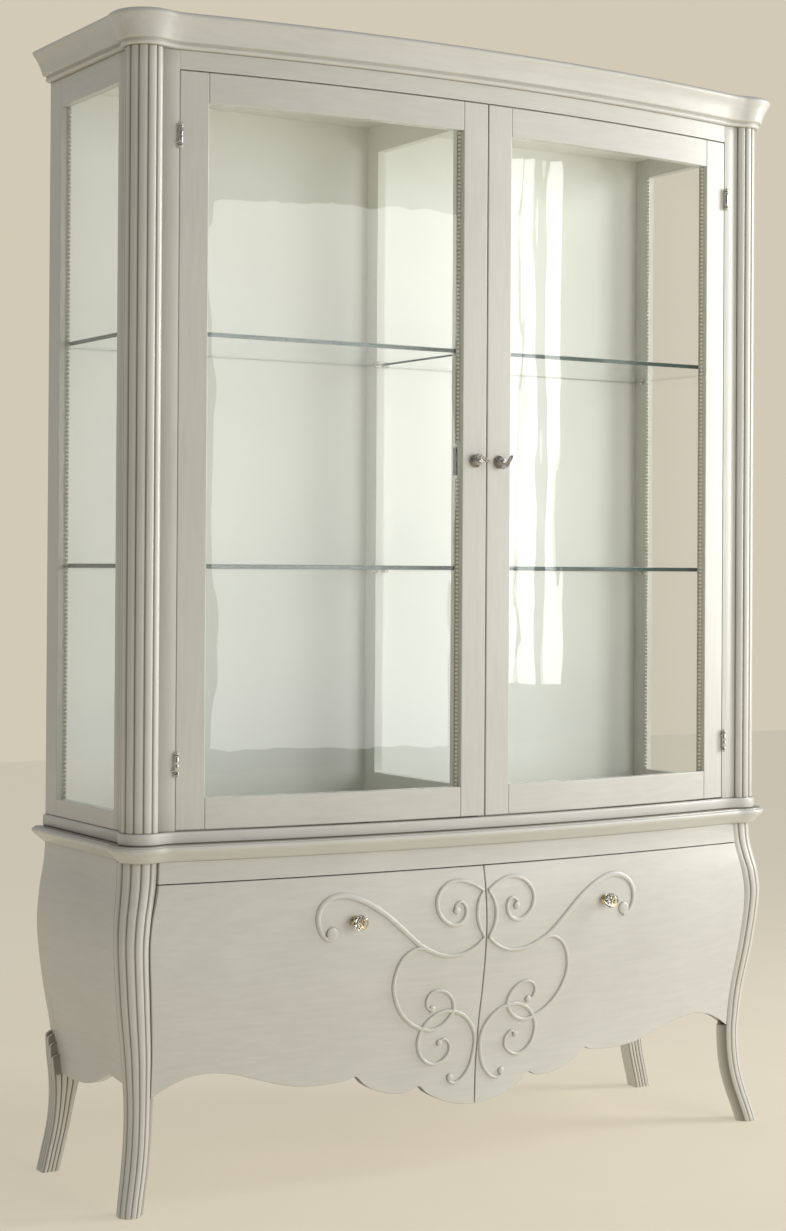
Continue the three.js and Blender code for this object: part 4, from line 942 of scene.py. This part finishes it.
KNUCKLE = [(0.4, 0.3), (3.9, 0.3), (4.1, 0.9), (4.1, 12.6), (3.5, 13.4), (4.6, 14.4), (4.6, 15.8),
           (3.4, 16.8), (3.2, 17.4), (4.3, 18.4), (4.4, 19.6), (3.6, 21), (2.2, 21.8), (2.4, 22.6),
           (1.6, 23.8), (0.4, 24.2)]
# Painted shade at the knuckle's joints and steps.
KNUCKLE_DARK = [0.4, 0.2, 0, 0, 0.7, 0, 0, 0.7, 0.7, 0, 0, 0, 0.5, 0, 0, 0]
STUB = [(0.2, 0), (2.2, 0), (2.2, 14.5), (0.2, 14.8)]
HINGE_Y, SPLAY = -5.5, 0.9         # the axis in front of the doors, and how far the stubs splay
for level, height in HINGE_HEIGHTS:
    centre = (DOOR_EDGE, HINGE_Y, height)
    for way, name, body, side in ((-1, "fixed", "case", 1), (1, "moving", "upper_door_{}_body", -1)):
        barrel = Piece().turned(KNUCKLE, centre, (0, 0, way), 32, KNUCKLE_DARK)
        barrel.turned(STUB, (DOOR_EDGE, HINGE_Y, height + way * 11.5),
                      (side * math.sin(SPLAY), math.cos(SPLAY), 0), 14)
        both(barrel, f"barrel_hinge_{name}_{level}", NICKEL, body, "nickel",
             [f"hinge_{name}_{level}_{{}}"], sharp=50)

# ---------- CAD pieces that are shown as they are ----------
def show_as_built(material, *nodes):
    for node in nodes:
        mesh = bpy.data.objects[node].data
        mesh.materials.clear()
        mesh.materials.append(material)


show_as_built(LINER, "base_back", "base_floor", "base_shelf", "upper_back", "partition_frame",
              "top_board")
show_as_built(NICKEL, "strike_plate")
for side in ("left", "right"):
    show_as_built(PLATE_GLASS, f"side_glass_{side}")
    show_as_built(BLACK, f"lock_case_{side}")
    show_as_built(NICKEL, f"bolt_{side}", f"base_hinge_upper_{side}", f"base_hinge_lower_{side}")

# ---------- Floor, light and camera ----------
BACKDROP = (0.65, 0.59, 0.47, 1)


def lay_floor():
    """Pale paper that gives off a little light, so that it fades into the backdrop."""
    mesh = bpy.data.meshes.new("studio_floor")
    mesh.from_pydata([(-9, -9, -0.0005), (9, -9, -0.0005), (9, 9, -0.0005), (-9, 9, -0.0005)], [],
                     [[0, 1, 2, 3]])
    paper = paint("studio_paper", (0.36, 0.33, 0.265), 0.9)
    shader = paper.node_tree.nodes["Principled BSDF"]
    shader.inputs["Emission Color"].default_value = BACKDROP
    shader.inputs["Emission Strength"].default_value = 0.66
    mesh.materials.append(paper)
    floor = bpy.data.objects.new("studio_floor", mesh)
    bpy.context.scene.collection.objects.link(floor)


def light_room():
    """Soft light from all round, weaker from the front left, with a plain backdrop behind."""
    world = bpy.data.worlds.new("studio")
    bpy.context.scene.world = world
    world.use_nodes = True
    nodes, links = world.node_tree.nodes, world.node_tree.links
    soft = nodes["Background"]
    soft.inputs["Color"].default_value = (0.97, 0.985, 0.96, 1)
    direction = nodes.new("ShaderNodeTexCoord")
    facing = nodes.new("ShaderNodeVectorMath")
    facing.operation = "DOT_PRODUCT"
    facing.inputs[1].default_value = (-0.5, -0.866, 0)
    links.new(direction.outputs["Generated"], facing.inputs[0])
    strength = nodes.new("ShaderNodeMapRange")
    for socket, value in (("From Min", 0.35), ("From Max", 1.0), ("To Min", 0.44), ("To Max", 0.12)):
        strength.inputs[socket].default_value = value
    links.new(facing.outputs["Value"], strength.inputs["Value"])
    links.new(strength.outputs["Result"], soft.inputs["Strength"])
    backdrop = nodes.new("ShaderNodeBackground")
    backdrop.inputs["Color"].default_value = BACKDROP
    path = nodes.new("ShaderNodeLightPath")
    seen = nodes.new("ShaderNodeMath")
    seen.operation = "MAXIMUM"
    links.new(path.outputs["Is Camera Ray"], seen.inputs[0])
    links.new(path.outputs["Is Transmission Ray"], seen.inputs[1])
    choice = nodes.new("ShaderNodeMixShader")
    links.new(seen.outputs[0], choice.inputs[0])
    links.new(soft.outputs[0], choice.inputs[1])
    links.new(backdrop.outputs[0], choice.inputs[2])
    links.new(choice.outputs[0], nodes["World Output"].inputs["Surface"])


def softbox(name, place, target, width, height, power, colour=(1, 1, 1), glossy=True):
    """A rectangular lamp turned toward its target; its sizes are in metres."""
    light = bpy.data.lights.new(name, "AREA")
    light.shape = "RECTANGLE"
    light.size, light.size_y = width, height
    light.energy = power
    light.color = colour
    lamp = bpy.data.objects.new(name, light)
    lamp.location = place
    lamp.visible_glossy = glossy
    way = Vector(target) - Vector(place)
    lamp.rotation_euler = way.to_track_quat("-Z", "Y").to_euler()
    bpy.context.scene.collection.objects.link(lamp)


lay_floor()
light_room()
softbox("key", (3.3, -1.15, 1.9), (0.2, -0.1, 1.1), 1.0, 2.4, 76, (1, 0.995, 0.975))
softbox("fill", (1.1, -4.0, 1.5), (0.1, 0, 1.1), 2.0, 2.0, 56, glossy=False)
for name, place in (("window_a", (1.93, -2.70, 1.66)), ("window_b", (2.045, -2.64, 1.66)),
                    ("window_c", (2.21, -2.55, 1.66))):
    softbox(name, place, (0.1, -0.2, 1.45), 0.11, 1.75, 2.7)

CAMERA_AT = Vector((-2.4792, -3.8707, 1.1628))
yaw, pitch, roll = 0.554, 0.009, 0.006
ahead = Vector((math.sin(yaw) * math.cos(pitch), math.cos(yaw) * math.cos(pitch), math.sin(pitch)))
level_right = Vector((math.cos(yaw), -math.sin(yaw), 0))
level_up = level_right.cross(ahead)
right = level_right * math.cos(roll) + level_up * math.sin(roll)
up = level_up * math.cos(roll) - level_right * math.sin(roll)
lens = bpy.data.cameras.new("photo_view")
lens.lens = 66.48
lens.sensor_width = 36
lens.shift_y = -0.0525
camera = bpy.data.objects.new("photo_view", lens)
camera.matrix_world = Matrix((
    (right.x, up.x, -ahead.x, CAMERA_AT.x), (right.y, up.y, -ahead.y, CAMERA_AT.y),
    (right.z, up.z, -ahead.z, CAMERA_AT.z), (0, 0, 0, 1)))
bpy.context.scene.collection.objects.link(camera)
bpy.context.scene.camera = camera
bpy.context.scene.view_settings.view_transform = "Standard"
